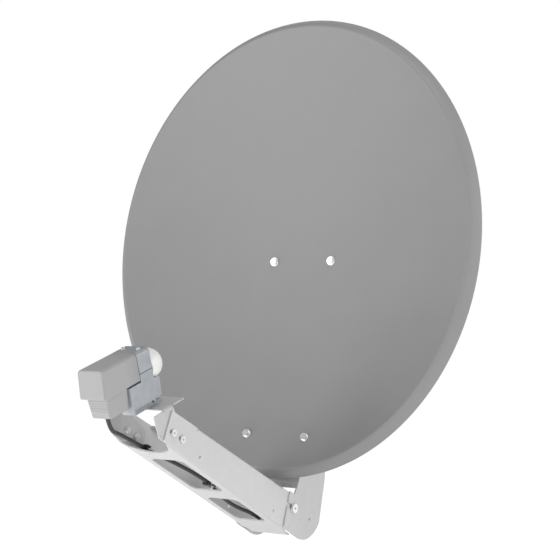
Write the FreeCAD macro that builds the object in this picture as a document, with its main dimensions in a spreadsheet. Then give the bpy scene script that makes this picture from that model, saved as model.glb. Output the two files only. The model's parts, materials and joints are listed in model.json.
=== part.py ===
"""Offset satellite dish on a mast bracket, with a folding feed arm and a converter under a weather hood.

The row frame stands on the mast's axis at the middle of the clamp: +Z up the mast, the dish facing -Y.
Four local frames hang from it, so that every outline is drawn square to its own piece:
  DISH  origin at the middle of the rim, +Y behind the rim plane, +Z up the rim plane
  ARM   origin at the lower front corner of the feed arm, +Y along the arm towards the dish
  FEED  origin on the feed horn's axis, +Y along the axis towards the dish
Lengths are in millimetres and angles in degrees.
"""
import FreeCAD, Part
import os
from math import atan, cos, degrees, hypot, pi, radians, sin, sqrt, tan

import Sketcher
from FreeCAD import Placement, Rotation, Vector

DOC = FreeCAD.newDocument("satellite_dish")
SHEET = DOC.addObject("Spreadsheet::Sheet", "sizes")
X_AXIS = Vector(1, 0, 0)
Y_AXIS = Vector(0, 1, 0)
Z_AXIS = Vector(0, 0, 1)

SIZES = {
    # reflector
    "aperture_half_wide": 375.0,
    "offset_angle": 27.5,
    "axis_clearance": 25.0,
    "reflector_thick": 1.6,
    "skirt_out": 18.2,
    "skirt_back": 17.8,
    "skirt_thick": 2.2,
    "rest_lean": 8.0,
    # four bolts that hold the reflector on the rear frame
    "bolt_half_apart": 62.9,
    "bolt_above_rim": 60.0,
    "bolt_rise": 339.5,
    "bolt_radius": 4.0,
    "bolt_hole_radius": 4.3,
    "bolt_head_radius": 8.6,
    "hex_across": 13.0,
    "hex_high": 5.6,
    "nut_high": 6.8,
    "washer_radius": 8.5,
    "washer_thick": 1.6,
    "spacer_radius": 11.0,
    "spacer_long": 5.0,
    # rear frame
    "frame_half_wide": 51.5,
    "frame_sheet": 2.5,
    "frame_gap": 4.0,
    "frame_depth": 51.0,
    "lug_half_high": 22.0,
    "lug_reach": 16.0,
    "frame_top_over_bolt": 36.0,
    "tie_radius": 6.0,
    # elevation pivot and its slotted quadrant
    "pivot_above_bolt": 62.7,
    "pivot_behind_frame": 6.0,
    "pivot_to_mast": 112.0,
    "pivot_below_clamp": 62.0,
    "slot_radius": 92.0,
    "slot_forward": 15.5,
    "slot_rearward": 31.5,
    "hub_radius": 24.0,
    "turning_gap": 0.08,
    # mast bracket and clamp
    "bracket_half_wide": 48.7,
    "bracket_sheet": 3.0,
    "web_half_wide": 72.0,
    "web_half_high": 90.0,
    "mast_radius": 30.0,
    "vee_half_angle": 55.0,
    "vee_half_wide": 34.0,
    "vee_setback": 6.0,
    "tooth_pitch": 4.0,
    "tooth_deep": 1.2,
    "jaw_thick": 5.0,
    "jaw_high": 26.0,
    "jaw_height": 60.0,
    "clamp_bolt_half_apart": 61.0,
    "clamp_bolt_long": 120.0,
    # feed arm
    "arm_half_wide": 48.7,
    "arm_sheet": 2.5,
    "arm_fall": 19.45,
    "arm_long": 398.5,
    "arm_wall_front": 54.0,
    "arm_wall_rear": 66.0,
    "arm_lip": 9.0,
    "arm_pivot_along": 423.3,
    "arm_pivot_above": 43.4,
    "arm_pivot_below_rim": 69.4,
    "arm_pivot_behind_rim": 20.3,
    "arm_ear_radius": 20.0,
    "arm_tongue": 451.0,
    "arm_hole_radius": 2.6,
    "arm_hole_above": 17.0,
    "arm_hole_front": 103.5,
    "arm_hole_rear": 363.3,
    "nose_hole_radius": 2.6,
    # feed bracket
    "side_gap": 0.2,
    "feed_sheet": 2.0,
    "feed_screw_first": 16.0,
    "feed_screw_apart": 27.0,
    "feed_screw_above": 23.3,
    "feed_screw_radius": 3.0,
    "feed_head_radius": 5.8,
    "feed_head_high": 3.2,
    "feed_travel": 5.0,
    # converter
    "feed_tilt": 24.4,
    "feed_back": 13.7,
    "feed_above": 141.7,
    "shell_half_wide": 25.0,
    "shell_wall": 2.4,
    "shell_top": 35.0,
    "shell_bottom": 50.0,
    "slide_gap": 0.1,
    "gasket_thick": 1.0,
    "foot_half_wide": 13.0,
    "foot_high": 14.0,
    "cap_radius": 26.0,
    "cap_wall": 1.5,
    "horn_radius": 24.0,
    "board_thick": 1.6,
    "socket_apart": 22.0,
    "thread_radius": 4.76,
    "plug_across": 11.0,
    "plug_long": 24.0,
    # weather hood
    "hood_half_wide": 24.6,
    "hood_wall": 1.6,
    "hood_top": 35.0,
    "hood_floor": 11.0,
    "grip_half_wide": 21.6,
    # lead
    "lead_radius": 3.4,
    "clip_wide": 9.0,
}

for row, (alias, value) in enumerate(SIZES.items(), start=1):
    SHEET.set("A%d" % row, alias)
    SHEET.set("B%d" % row, str(value))
    SHEET.setAlias("B%d" % row, alias)
DOC.recompute()


def size(alias):
    """A driving dimension, read back from the spreadsheet."""
    return float(SHEET.get(alias))


def bind(item, prop, value):
    """Set a property to a number, or tie it to the spreadsheet when the value is an expression."""
    if isinstance(value, str):
        for alias in sorted(SIZES, key=len, reverse=True):
            value = value.replace("<" + alias + ">", "sizes." + alias)
        item.setExpression(prop, value)
    else:
        setattr(item, prop, value)


# ---------------------------------------------------------------- frames
OFFSET = radians(size("offset_angle"))
HALF_WIDE = size("aperture_half_wide")
HALF_HIGH = HALF_WIDE / cos(OFFSET)
AXIS_TO_CENTRE = HALF_WIDE + size("axis_clearance")
FOCAL = AXIS_TO_CENTRE / (2 * tan(OFFSET))
RIM_W = (AXIS_TO_CENTRE ** 2 + HALF_WIDE ** 2) / (4 * FOCAL)


def dish_surface(x, z, behind=0.0):
    """Depth below the rim plane of the reflector's front face, or of that face moved back along the beam."""
    across = AXIS_TO_CENTRE + z * cos(OFFSET)
    along = RIM_W + z * sin(OFFSET) + behind
    a = sin(OFFSET) ** 2
    b = 2 * across * sin(OFFSET) + 4 * FOCAL * cos(OFFSET)
    c = across ** 2 + x ** 2 - 4 * FOCAL * along
    return (-b + sqrt(b * b - 4 * a * c)) / (2 * a)


def back_surface(x, z):
    return dish_surface(x, z, size("reflector_thick"))


LOWER_BOLT = -HALF_HIGH + size("bolt_above_rim")
UPPER_BOLT = LOWER_BOLT + size("bolt_rise")
FRAME_REAR = back_surface(size("frame_half_wide"), UPPER_BOLT) + size("frame_depth")
PIVOT = Vector(0, FRAME_REAR + size("pivot_behind_frame"), LOWER_BOLT + size("pivot_above_bolt"))
PIVOT_IN_ROW = Vector(0, -size("pivot_to_mast"), -size("pivot_below_clamp"))

LEAN = Rotation(X_AXIS, -size("rest_lean"))
DISH = Placement(PIVOT_IN_ROW - LEAN.multVec(PIVOT), LEAN)
ARM_TURN = Rotation(X_AXIS, -size("arm_fall"))
ARM_PIVOT = Vector(0, size("arm_pivot_along"), size("arm_pivot_above"))
ARM_PIVOT_IN_DISH = Vector(0, size("arm_pivot_behind_rim"), -HALF_HIGH - size("arm_pivot_below_rim"))
ARM_IN_DISH = Placement(ARM_PIVOT_IN_DISH - ARM_TURN.multVec(ARM_PIVOT), ARM_TURN)
ARM = DISH.multiply(ARM_IN_DISH)
FEED_IN_ARM = Placement(Vector(0, -size("feed_back"), size("feed_above")),
                        Rotation(X_AXIS, size("feed_tilt") + size("arm_fall")))
FEED = ARM.multiply(FEED_IN_ARM)
ROW = Placement()


def arm_to_dish(along, above):
    point = ARM_IN_DISH.multVec(Vector(0, along, above))
    return (point.y, point.z)


def feed_to_arm(along, above):
    point = FEED_IN_ARM.multVec(Vector(0, along, above))
    return (point.y, point.z)


def polar(centre, radius, angle):
    """A point round a centre in a side view; the angle is from upright, towards the rear."""
    return (centre[0] + radius * sin(radians(angle)), centre[1] + radius * cos(radians(angle)))


# ---------------------------------------------------------------- modelling helpers
def new_body(label, frame=ROW):
    item = DOC.addObject("PartDesign::Body", label)
    item.Label = label
    item.Placement = frame
    return item


def new_sketch(item, role, offset=0.0):
    sketch = item.newObject("Sketcher::SketchObject", item.Name + "_sketch")
    plane = [f for f in item.Origin.OriginFeatures if f.Role == role][0]
    sketch.AttachmentSupport = [(plane, "")]
    sketch.MapMode = "FlatFace"
    sketch.AttachmentOffset = Placement(Vector(0, 0, offset), Rotation())
    return sketch


def draw(sketch, corners):
    """Closed outline. (x, y) ends a straight edge, (mid_x, mid_y, x, y) ends an arc through its middle."""
    start = Vector(corners[0][-2], corners[0][-1], 0)
    last = start
    for corner in corners[1:] + [corners[0][-2:]]:
        end = Vector(corner[-2], corner[-1], 0)
        if len(corner) == 4:
            sketch.addGeometry(Part.Arc(last, Vector(corner[0], corner[1], 0), end), False)
        elif (end - last).Length > 1e-6:
            sketch.addGeometry(Part.LineSegment(last, end), False)
        last = end


def draw_circle(sketch, x, y, radius):
    """Circle whose radius follows the spreadsheet."""
    index = sketch.addGeometry(Part.Circle(Vector(x, y, 0), Z_AXIS, 1.0), False)
    rule = sketch.addConstraint(Sketcher.Constraint("Radius", index, 1.0))
    bind(sketch, "Constraints[%d]" % rule, radius)


def slot(x1, y1, x2, y2, radius):
    """Round-ended slot as an outline."""
    length = hypot(x2 - x1, y2 - y1)
    ux = (x2 - x1) / length
    uy = (y2 - y1) / length
    return [(x1 - uy * radius, y1 + ux * radius),
            (x1 - ux * radius, y1 - uy * radius, x1 + uy * radius, y1 - ux * radius),
            (x2 + uy * radius, y2 - ux * radius),
            (x2 + ux * radius, y2 + uy * radius, x2 - uy * radius, y2 + ux * radius)]


def pad(item, sketch, length, both=True, back=False):
    feature = item.newObject("PartDesign::Pad", item.Name + "_pad")
    feature.Profile = sketch
    feature.SideType = "Symmetric" if both else "One side"
    feature.Reversed = back
    bind(feature, "Length", length)
    return feature


def pocket(item, sketch, length=None, both=True, back=False):
    feature = item.newObject("PartDesign::Pocket", item.Name + "_pocket")
    feature.Profile = sketch
    feature.SideType = "Symmetric" if both else "One side"
    feature.Reversed = back
    if length is None:
        feature.Type = "ThroughAll"
    else:
        bind(feature, "Length", length)
    return feature


def side_pad(item, corners, wide):
    sketch = new_sketch(item, "YZ_Plane")
    draw(sketch, corners)
    return pad(item, sketch, wide)


def side_pocket(item, corners, wide=None):
    sketch = new_sketch(item, "YZ_Plane")
    draw(sketch, corners)
    return pocket(item, sketch, wide)


def side_holes(item, centres, radius):
    sketch = new_sketch(item, "YZ_Plane")
    for centre in centres:
        draw_circle(sketch, centre[0], centre[1], radius)
    return pocket(item, sketch)


def box(name, sizes, corner, frame=ROW):
    item = DOC.addObject("Part::Box", name)
    for prop, value in zip(("Length", "Width", "Height"), sizes):
        bind(item, prop, value)
    item.Placement = frame.multiply(Placement(corner, Rotation()))
    return item


def rod(name, radius, length, base, direction, frame=ROW):
    item = DOC.addObject("Part::Cylinder", name)
    bind(item, "Radius", radius)
    bind(item, "Height", length)
    item.Placement = frame.multiply(Placement(base, Rotation(Z_AXIS, direction)))
    return item


def hexagon(name, across, high, base, direction, frame=ROW):
    item = DOC.addObject("Part::Prism", name)
    item.Polygon = 6
    bind(item, "Circumradius", "(%s) / 1.7320508" % across)
    bind(item, "Height", high)
    item.Placement = frame.multiply(Placement(base, Rotation(Z_AXIS, direction)))
    return item


def fuse(name, items):
    item = DOC.addObject("Part::MultiFuse", name)
    item.Shapes = items
    item.Label = name
    return item


def cut(name, base, tool):
    item = DOC.addObject("Part::Cut", name)
    item.Base = base
    item.Tool = tool
    item.Label = name
    return item


def group(name, items):
    """Identical pieces that share one node."""
    item = DOC.addObject("Part::Compound", name)
    item.Links = items
    item.Label = name
    return item


def tube(name, outer, inner, length, base, direction, frame=ROW):
    solid = rod(name + "_outside", outer, length, base, direction, frame)
    bore = rod(name + "_bore", inner, length, base, direction, frame)
    return cut(name, solid, bore)


def hex_bolt(name, length, base, direction, frame=ROW):
    """M8 bolt: the hexagon lies behind base, the shank runs from it along the direction."""
    head = hexagon(name + "_head", "<hex_across>", "<hex_high>", base - direction * size("hex_high"),
                   direction, frame)
    shank = rod(name + "_shank", "<bolt_radius>", length, base, direction, frame)
    return fuse(name, [head, shank])


def hex_nut(name, base, direction, frame=ROW):
    body = hexagon(name + "_hex", "<hex_across>", "<nut_high>", base, direction, frame)
    bore = rod(name + "_bore", "<bolt_radius>", "<nut_high>", base, direction, frame)
    return cut(name, body, bore)


# ---------------------------------------------------------------- reflector
def ellipse_wire(extra, depth):
    """Rim ellipse grown by extra all round, at a depth behind the rim plane."""
    curve = Part.Ellipse(Vector(0, 0, 0), HALF_HIGH + extra, HALF_WIDE + extra)
    edge = curve.toShape()
    edge.rotate(Vector(0, 0, 0), Z_AXIS, 90)
    edge.rotate(Vector(0, 0, 0), X_AXIS, 90)
    edge.translate(Vector(0, depth, 0))
    return Part.Wire([edge])


def elliptic_loft(sections):
    return Part.makeLoft([ellipse_wire(extra, depth) for extra, depth in sections], True, True)


def bolt_seats():
    """Each reflector bolt's place in the side view, with the slope of the reflector there."""
    seats = []
    for height in (UPPER_BOLT, LOWER_BOLT):
        rise = back_surface(size("bolt_half_apart"), height + 1) - back_surface(size("bolt_half_apart"), height - 1)
        slope = atan(rise / 2)
        along = Vector(0, sin(slope), cos(slope))
        rearward = Vector(0, cos(slope), -sin(slope))
        seats.append((height, along, rearward))
    return seats


def seat_on_back(side, height):
    """Where a bolt's axis meets the reflector's rear face."""
    x = side * size("bolt_half_apart")
    return Vector(x, back_surface(x, height), height)


def make_reflector():
    """Paraboloid shell cut by the beam's cylinder, with a flared skirt round its rim."""
    reach = AXIS_TO_CENTRE + HALF_WIDE + 10
    rise = reach ** 2 / (4 * FOCAL)
    thick = size("reflector_thick")
    front = Part.BezierCurve()
    front.setPoles([Vector(0, 0, 0), Vector(reach / 2, 0, 0), Vector(reach, 0, rise)])
    rear = Part.BezierCurve()
    rear.setPoles([Vector(0, 0, -thick), Vector(reach / 2, 0, -thick), Vector(reach, 0, rise - thick)])
    edges = [front.toShape(),
             Part.makeLine(Vector(reach, 0, rise), Vector(reach, 0, rise - thick)),
             rear.toShape(),
             Part.makeLine(Vector(0, 0, -thick), Vector(0, 0, 0))]
    shell = Part.Face(Part.Wire(edges)).revolve(Vector(0, 0, 0), Z_AXIS, 360)
    beam = Part.makeCylinder(HALF_WIDE, rise + 2 * thick, Vector(0, AXIS_TO_CENTRE, -thick))
    bowl = shell.common(beam)
    turn = Rotation(X_AXIS, 90 - size("offset_angle"))
    vertex = -turn.multVec(Vector(0, AXIS_TO_CENTRE, RIM_W))
    bowl.Placement = Placement(vertex, turn)

    out = size("skirt_out")
    back = size("skirt_back")
    thick = size("skirt_thick")
    profile = [(0, 0), (out * 0.27, back * 0.09), (out * 0.88, back * 0.83), (out, back)]
    outer = elliptic_loft(profile)
    inner = elliptic_loft([(extra, depth + thick) for extra, depth in profile])
    mouth = elliptic_loft([(-1.6, -1), (-1.6, back + 2 * thick)])
    skirt = outer.cut(inner).cut(mouth)
    whole = bowl.fuse(skirt)
    for height, along, rearward in bolt_seats():
        for side in (-1, 1):
            start = seat_on_back(side, height) - rearward * 10
            whole = whole.cut(Part.makeCylinder(size("bolt_hole_radius"), 20, start, rearward))
    item = DOC.addObject("Part::Feature", "reflector")
    item.Shape = whole.removeSplitter()
    item.Placement = DISH
    return item


def make_reflector_fasteners(reflector):
    """Flanged bolts from the front, moulded spacers between reflector and lug, and nuts behind."""
    ahead = DOC.addObject("Part::Feature", "space_ahead")
    ahead.Shape = reflector.Shape
    ahead.Placement = Placement(DISH.Rotation.multVec(Vector(0, -1.4, 0)), Rotation()).multiply(DISH)
    bolts = []
    spacers = []
    nuts = []
    for level, (height, along, rearward) in zip(("upper", "lower"), bolt_seats()):
        for hand, side in (("left", -1), ("right", 1)):
            tag = "%s_%s" % (level, hand)
            back = seat_on_back(side, height)
            lug = back + rearward * size("spacer_long")
            depth = (back.y - dish_surface(back.x, height)) * rearward.y
            face = back - rearward * depth
            flange = rod("flange_" + tag, "<bolt_head_radius>", 1.9, face - rearward * 1.6, rearward, DISH)
            head = hexagon("head_" + tag, "<hex_across> - 1", "<hex_high>", face - rearward * 6.4, rearward, DISH)
            shank = rod("shank_" + tag, "<bolt_radius>", 26, face - rearward * 1.6, rearward, DISH)
            bolts.append(cut("bolt_" + tag, fuse("whole_bolt_" + tag, [flange, head, shank]), reflector))
            sleeve = tube("sleeve_" + tag, "<spacer_radius>", "<bolt_hole_radius>", "<spacer_long> + 1",
                          back - rearward, rearward, DISH)
            spacers.append(cut("spacer_" + tag, cut("fitted_" + tag, sleeve, reflector), ahead))
            nuts.append(hex_nut("nut_" + tag, lug + rearward * size("frame_sheet"), rearward, DISH))
    group("reflector_bolts", bolts)
    group("reflector_spacers", spacers)
    group("reflector_nuts", nuts)


# ---------------------------------------------------------------- rear frame
def lug_outline(seat, half_high):
    """Thin tilted rectangle in the side view: a lug lying tangent to the reflector."""
    height, along, rearward = seat
    x = size("bolt_half_apart")
    middle = Vector(0, back_surface(x, height), height) + rearward * size("spacer_long")
    corners = []
    for rise, depth in ((-1, 0), (-1, 1), (1, 1), (1, 0)):
        point = middle + along * (rise * half_high) + rearward * (depth * size("frame_sheet"))
        corners.append((point.y, point.z))
    return corners


def make_rear_frame():
    """Folded channel behind the reflector: two cheeks, lugs for the bolts, a slotted quadrant and a nose."""
    half = size("frame_half_wide")
    gap = size("frame_gap")
    top = UPPER_BOLT + size("frame_top_over_bolt")
    low = LOWER_BOLT - size("lug_half_high")
    middle = (top + low) / 2
    rim = -HALF_HIGH
    hub = (PIVOT.y, PIVOT.z)
    pivot_along = size("arm_pivot_along")
    pivot_above = size("arm_pivot_above")
    notch = size("bolt_radius") + 0.1
    seam_low = pivot_along - 16.7

    cheek = [(back_surface(half, top) + gap, top),
             (back_surface(half, middle) + gap, middle, back_surface(half, low) + gap, low),
             (size("skirt_back") + 20, rim - 2),
             (size("skirt_back") + 16, rim - size("skirt_out") - 4),
             arm_to_dish(size("arm_long") + 18, size("arm_wall_rear") + 3),
             arm_to_dish(size("arm_long"), size("arm_wall_rear") + 1.5),
             arm_to_dish(seam_low - 5, pivot_above + notch),
             arm_to_dish(pivot_along, pivot_above + notch),
             arm_to_dish(pivot_along + notch, pivot_above) + arm_to_dish(pivot_along, pivot_above - notch),
             arm_to_dish(seam_low - 4, pivot_above - notch),
             arm_to_dish(seam_low, 0),
             arm_to_dish(seam_low + 51, 0),
             arm_to_dish(seam_low + 97, 14) + arm_to_dish(seam_low + 121, 52.6),
             (FRAME_REAR, rim - 16),
             (FRAME_REAR, hub[1] - 52),
             polar(hub, size("hub_radius"), 115),
             polar(hub, size("slot_radius") - 15, size("slot_rearward") + 10),
             polar(hub, size("slot_radius") - 2, size("slot_rearward") + 9.5)
             + polar(hub, size("slot_radius") + 14, size("slot_rearward") + 4),
             polar(hub, size("slot_radius") + 14, size("slot_rearward") / 2 + 4)
             + polar(hub, size("slot_radius") + 14, 8),
             (FRAME_REAR, hub[1] + size("slot_radius") + 34),
             (FRAME_REAR, top - 14),
             (FRAME_REAR - 4, top - 4, FRAME_REAR - 14, top)]
    item = new_body("rear_frame", DISH)
    side_pad(item, cheek, "2 * <frame_half_wide>")
    seats = bolt_seats()
    for seat in seats:
        side_pad(item, lug_outline(seat, size("lug_half_high")), "2 * (<bolt_half_apart> + <lug_reach>)")
    upper = lug_outline(seats[0], size("lug_half_high"))
    lower = lug_outline(seats[1], size("lug_half_high"))
    cavity = [(upper[2][0], top + 20), upper[2], upper[1], (upper[1][0] - 100, upper[1][1] - 1),
              (lower[2][0] - 100, lower[2][1] + 1), lower[2], lower[1], (lower[1][0] - 100, lower[1][1] - 1),
              (lower[1][0] - 100, rim - 260), (FRAME_REAR + 120, rim - 260), (FRAME_REAR + 120, top + 20)]
    side_pocket(item, cavity, "2 * (<frame_half_wide> - <frame_sheet>)")
    # cross web between the cheeks, under the reflector's skirt
    sheet = size("frame_sheet")
    shoulder = Vector(size("skirt_back") + 16, rim - size("skirt_out") - 4, 0)
    throat = Vector(*arm_to_dish(size("arm_long") + 18, size("arm_wall_rear") + 3), 0)
    foot = shoulder + (throat - shoulder) * 0.5
    side_pad(item, [(size("skirt_back") + 20, rim - 2), (shoulder.x, shoulder.y), (foot.x, foot.y),
                    (foot.x + sheet, foot.y - 1), (shoulder.x + sheet, shoulder.y),
                    (size("skirt_back") + 20 + sheet, rim - 2)], "2 * <frame_half_wide>")
    # slotted quadrant, pivot hole, tie holes and the small hole in the nose
    side_pocket(item, quadrant_slot(hub))
    side_holes(item, [hub], "<bolt_radius> + <turning_gap>")
    side_holes(item, [tie_place()], "<bolt_radius> + <turning_gap>")
    side_holes(item, [arm_to_dish(pivot_along + 64.6, pivot_above + 1.5)], "<nose_hole_radius>")
    # holes through the lugs, square to them
    tools = []
    for height, along, rearward in seats:
        for side in (-1, 1):
            tools.append(rod("lug_hole", "<bolt_hole_radius>", 16, seat_on_back(side, height), rearward, DISH))
    item.Label = "rear_frame_blank"
    cut("rear_frame", item, fuse("lug_holes", tools))


def quadrant_slot(hub):
    """Arc slot round the pivot, from the steepest to the flattest elevation."""
    radius = size("slot_radius")
    half = size("bolt_radius") + 0.25
    first = -size("slot_forward")
    last = size("slot_rearward")
    middle = (first + last) / 2
    first_centre = polar(hub, radius, first)
    last_centre = polar(hub, radius, last)
    return [polar(hub, radius - half, first),
            polar(first_centre, half, first - 90) + polar(hub, radius + half, first),
            polar(hub, radius + half, middle) + polar(hub, radius + half, last),
            polar(last_centre, half, last + 90) + polar(hub, radius - half, last),
            polar(hub, radius - half, middle) + polar(hub, radius - half, first)]


def tie_place():
    return (FRAME_REAR - 18, UPPER_BOLT - 70)


def make_frame_tie():
    """Spreader tube and through bolt that keep the cheeks apart above the quadrant."""
    inner = size("frame_half_wide") - size("frame_sheet")
    outer = size("frame_half_wide")
    y, z = tie_place()
    tube("frame_tie_tube", "<tie_radius>", "<bolt_radius> + 0.2", "2 * (<frame_half_wide> - <frame_sheet>)",
         Vector(-inner, y, z), X_AXIS, DISH)
    hex_bolt("frame_tie_bolt", "2 * <frame_half_wide> + 11", Vector(-outer, y, z), X_AXIS, DISH)
    hex_nut("frame_tie_nut", Vector(outer, y, z), X_AXIS, DISH)


# ---------------------------------------------------------------- mast bracket and clamp
VEE = radians(size("vee_half_angle"))
VEE_APEX = size("mast_radius") / sin(VEE)
WEB_REAR = -VEE_APEX - size("vee_setback")
WEB_FRONT = WEB_REAR - size("bracket_sheet")
LOCK = PIVOT_IN_ROW + LEAN.multVec(Vector(0, 0, size("slot_radius")))


def toothed_vee(apex, opening):
    """Half of a serrated V, from the lip to the apex; opening is +1 towards +Y or -1 towards -Y."""
    wide = size("vee_half_wide")
    deep = wide / tan(VEE)
    length = hypot(wide, deep)
    count = int(length / size("tooth_pitch"))
    points = []
    for step in range(count):
        share = step / count
        points.append((wide * (1 - share), apex + opening * deep * (1 - share)))
        share = (step + 0.5) / count
        points.append((wide * (1 - share), apex + opening * (deep * (1 - share) - size("tooth_deep"))))
    points.append((0, apex))
    return points


def make_mast_bracket():
    """Bent sheet: a web with two serrated V flanges for the mast, and two cheeks for the dish's frame."""
    item = new_body("mast_bracket")
    high = size("web_half_high")
    half = size("bracket_half_wide")
    sheet = size("bracket_sheet")
    side_pad(item, [(WEB_FRONT, -high), (WEB_REAR, -high), (WEB_REAR, high), (WEB_FRONT, high)],
             "2 * <web_half_wide>")
    pivot = (PIVOT_IN_ROW.y, PIVOT_IN_ROW.z)
    lock = (LOCK.y, LOCK.z)
    cheek = [(WEB_REAR, -high + 6), polar(pivot, 20, 160), polar(pivot, 20, 250) + polar(pivot, 20, 300),
             polar(lock, 17, 255), polar(lock, 17, 315) + polar(lock, 17, 10), (WEB_REAR, high - 22)]
    side_pad(item, cheek, "2 * <bracket_half_wide>")
    hollow = [(WEB_FRONT, -high - 5), (pivot[0] - 60, -high - 5), (pivot[0] - 60, high + 5), (WEB_FRONT, high + 5)]
    side_pocket(item, hollow, "2 * (<bracket_half_wide> - <bracket_sheet>)")
    vee = toothed_vee(-VEE_APEX, 1)
    lip = vee[0][1]
    flange = [(-half + 2, WEB_FRONT), (-half + 2, WEB_REAR + 8), (-vee[0][0] - 4, lip)]
    flange += [(-x, y) for x, y in vee] + list(reversed(vee[:-1]))
    flange += [(vee[0][0] + 4, lip), (half - 2, WEB_REAR + 8), (half - 2, WEB_FRONT)]
    for level in (high - sheet, -high):
        sketch = new_sketch(item, "XY_Plane", level)
        draw(sketch, flange)
        pad(item, sketch, "<bracket_sheet>", both=False)
    sketch = new_sketch(item, "XZ_Plane")
    for side in (-1, 1):
        for level in (-1, 1):
            draw_circle(sketch, side * size("clamp_bolt_half_apart"), level * size("jaw_height"),
                        "<bolt_hole_radius>")
    # the quadrants swing through these two slots when the dish is raised
    for side in (-1, 1):
        near = side * half
        far = side * (size("frame_half_wide") + 1)
        draw(sketch, [(near, -42), (far, -42), (far, 30), (near, 30)])
    pocket(item, sketch)
    side_holes(item, [pivot, lock], "<bolt_radius> + <turning_gap>")


def make_clamp():
    """Two serrated jaws on four long bolts, with their washers and nuts."""
    vee = toothed_vee(VEE_APEX, -1)
    lip = vee[0][1]
    thick = size("jaw_thick")
    wide = size("web_half_wide")
    rear_step = thick * tan((pi / 2 - VEE) / 2)
    for name, level in (("upper_clamp_jaw", 1), ("lower_clamp_jaw", -1)):
        item = new_body(name)
        sketch = new_sketch(item, "XY_Plane", level * size("jaw_height") - size("jaw_high") / 2)
        outline = [(-wide, lip)] + [(-x, y) for x, y in vee] + list(reversed(vee[:-1]))
        outline += [(wide, lip), (wide, lip + thick), (vee[0][0] + rear_step, lip + thick),
                    (0, VEE_APEX + thick / sin(VEE)), (-vee[0][0] - rear_step, lip + thick), (-wide, lip + thick)]
        draw(sketch, outline)
        pad(item, sketch, "<jaw_high>", both=False)
        sketch = new_sketch(item, "XZ_Plane")
        for side in (-1, 1):
            draw_circle(sketch, side * size("clamp_bolt_half_apart"), level * size("jaw_height"),
                        "<bolt_hole_radius>")
        pocket(item, sketch)
    bolts = []
    washers = []
    nuts = []
    seat = lip + thick
    for side in (-1, 1):
        for level in (-1, 1):
            tag = "%s%s" % ("l" if side < 0 else "r", "d" if level < 0 else "u")
            x = side * size("clamp_bolt_half_apart")
            z = level * size("jaw_height")
            bolts.append(hex_bolt("clamp_bolt_" + tag, "<clamp_bolt_long>", Vector(x, WEB_FRONT, z), Y_AXIS))
            washers.append(tube("clamp_washer_" + tag, "<washer_radius>", "<bolt_hole_radius>", "<washer_thick>",
                                Vector(x, seat, z), Y_AXIS))
            nut = hexagon("clamp_nut_hex_" + tag, "<hex_across>", "<nut_high>",
                          Vector(x, seat + size("washer_thick"), z), Y_AXIS)
            bore = rod("clamp_nut_bore_" + tag, "<bolt_radius> + <turning_gap>", "<nut_high>",
                       Vector(x, seat + size("washer_thick"), z), Y_AXIS)
            nuts.append(cut("clamp_nut_" + tag, nut, bore))
    group("clamp_bolts", bolts)
    group("clamp_washers", washers)
    group("clamp_nuts", nuts)


def make_elevation_fasteners():
    """Pivot bolt and lock bolt across the bracket, each with spacer tube, washers and nut."""
    outer = size("frame_half_wide")
    inner = size("bracket_half_wide") - size("bracket_sheet")
    washer = size("washer_thick")
    washers = []
    tubes = []
    for name, place in (("elevation_pivot", PIVOT_IN_ROW), ("elevation_lock", LOCK)):
        y = place.y
        z = place.z
        seat = outer + size("turning_gap")
        hex_bolt(name + "_bolt", "2 * (<frame_half_wide> + <turning_gap> + <washer_thick>) + 12",
                 Vector(-seat - washer, y, z), X_AXIS)
        hex_nut(name + "_nut", Vector(seat + washer, y, z), X_AXIS)
        tubes.append(tube(name + "_tube", "<tie_radius>", "<bolt_radius> + 0.2",
                          "2 * (<bracket_half_wide> - <bracket_sheet>)", Vector(-inner, y, z), X_AXIS))
        washers.append(tube(name + "_washer_left", "<washer_radius> + 3.5", "<bolt_radius>", "<washer_thick>",
                            Vector(-seat - washer, y, z), X_AXIS))
        washers.append(tube(name + "_washer_right", "<washer_radius> + 3.5", "<bolt_radius>", "<washer_thick>",
                            Vector(seat, y, z), X_AXIS))
    group("bracket_spacer_tubes", tubes)
    group("elevation_washers", washers)


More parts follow.
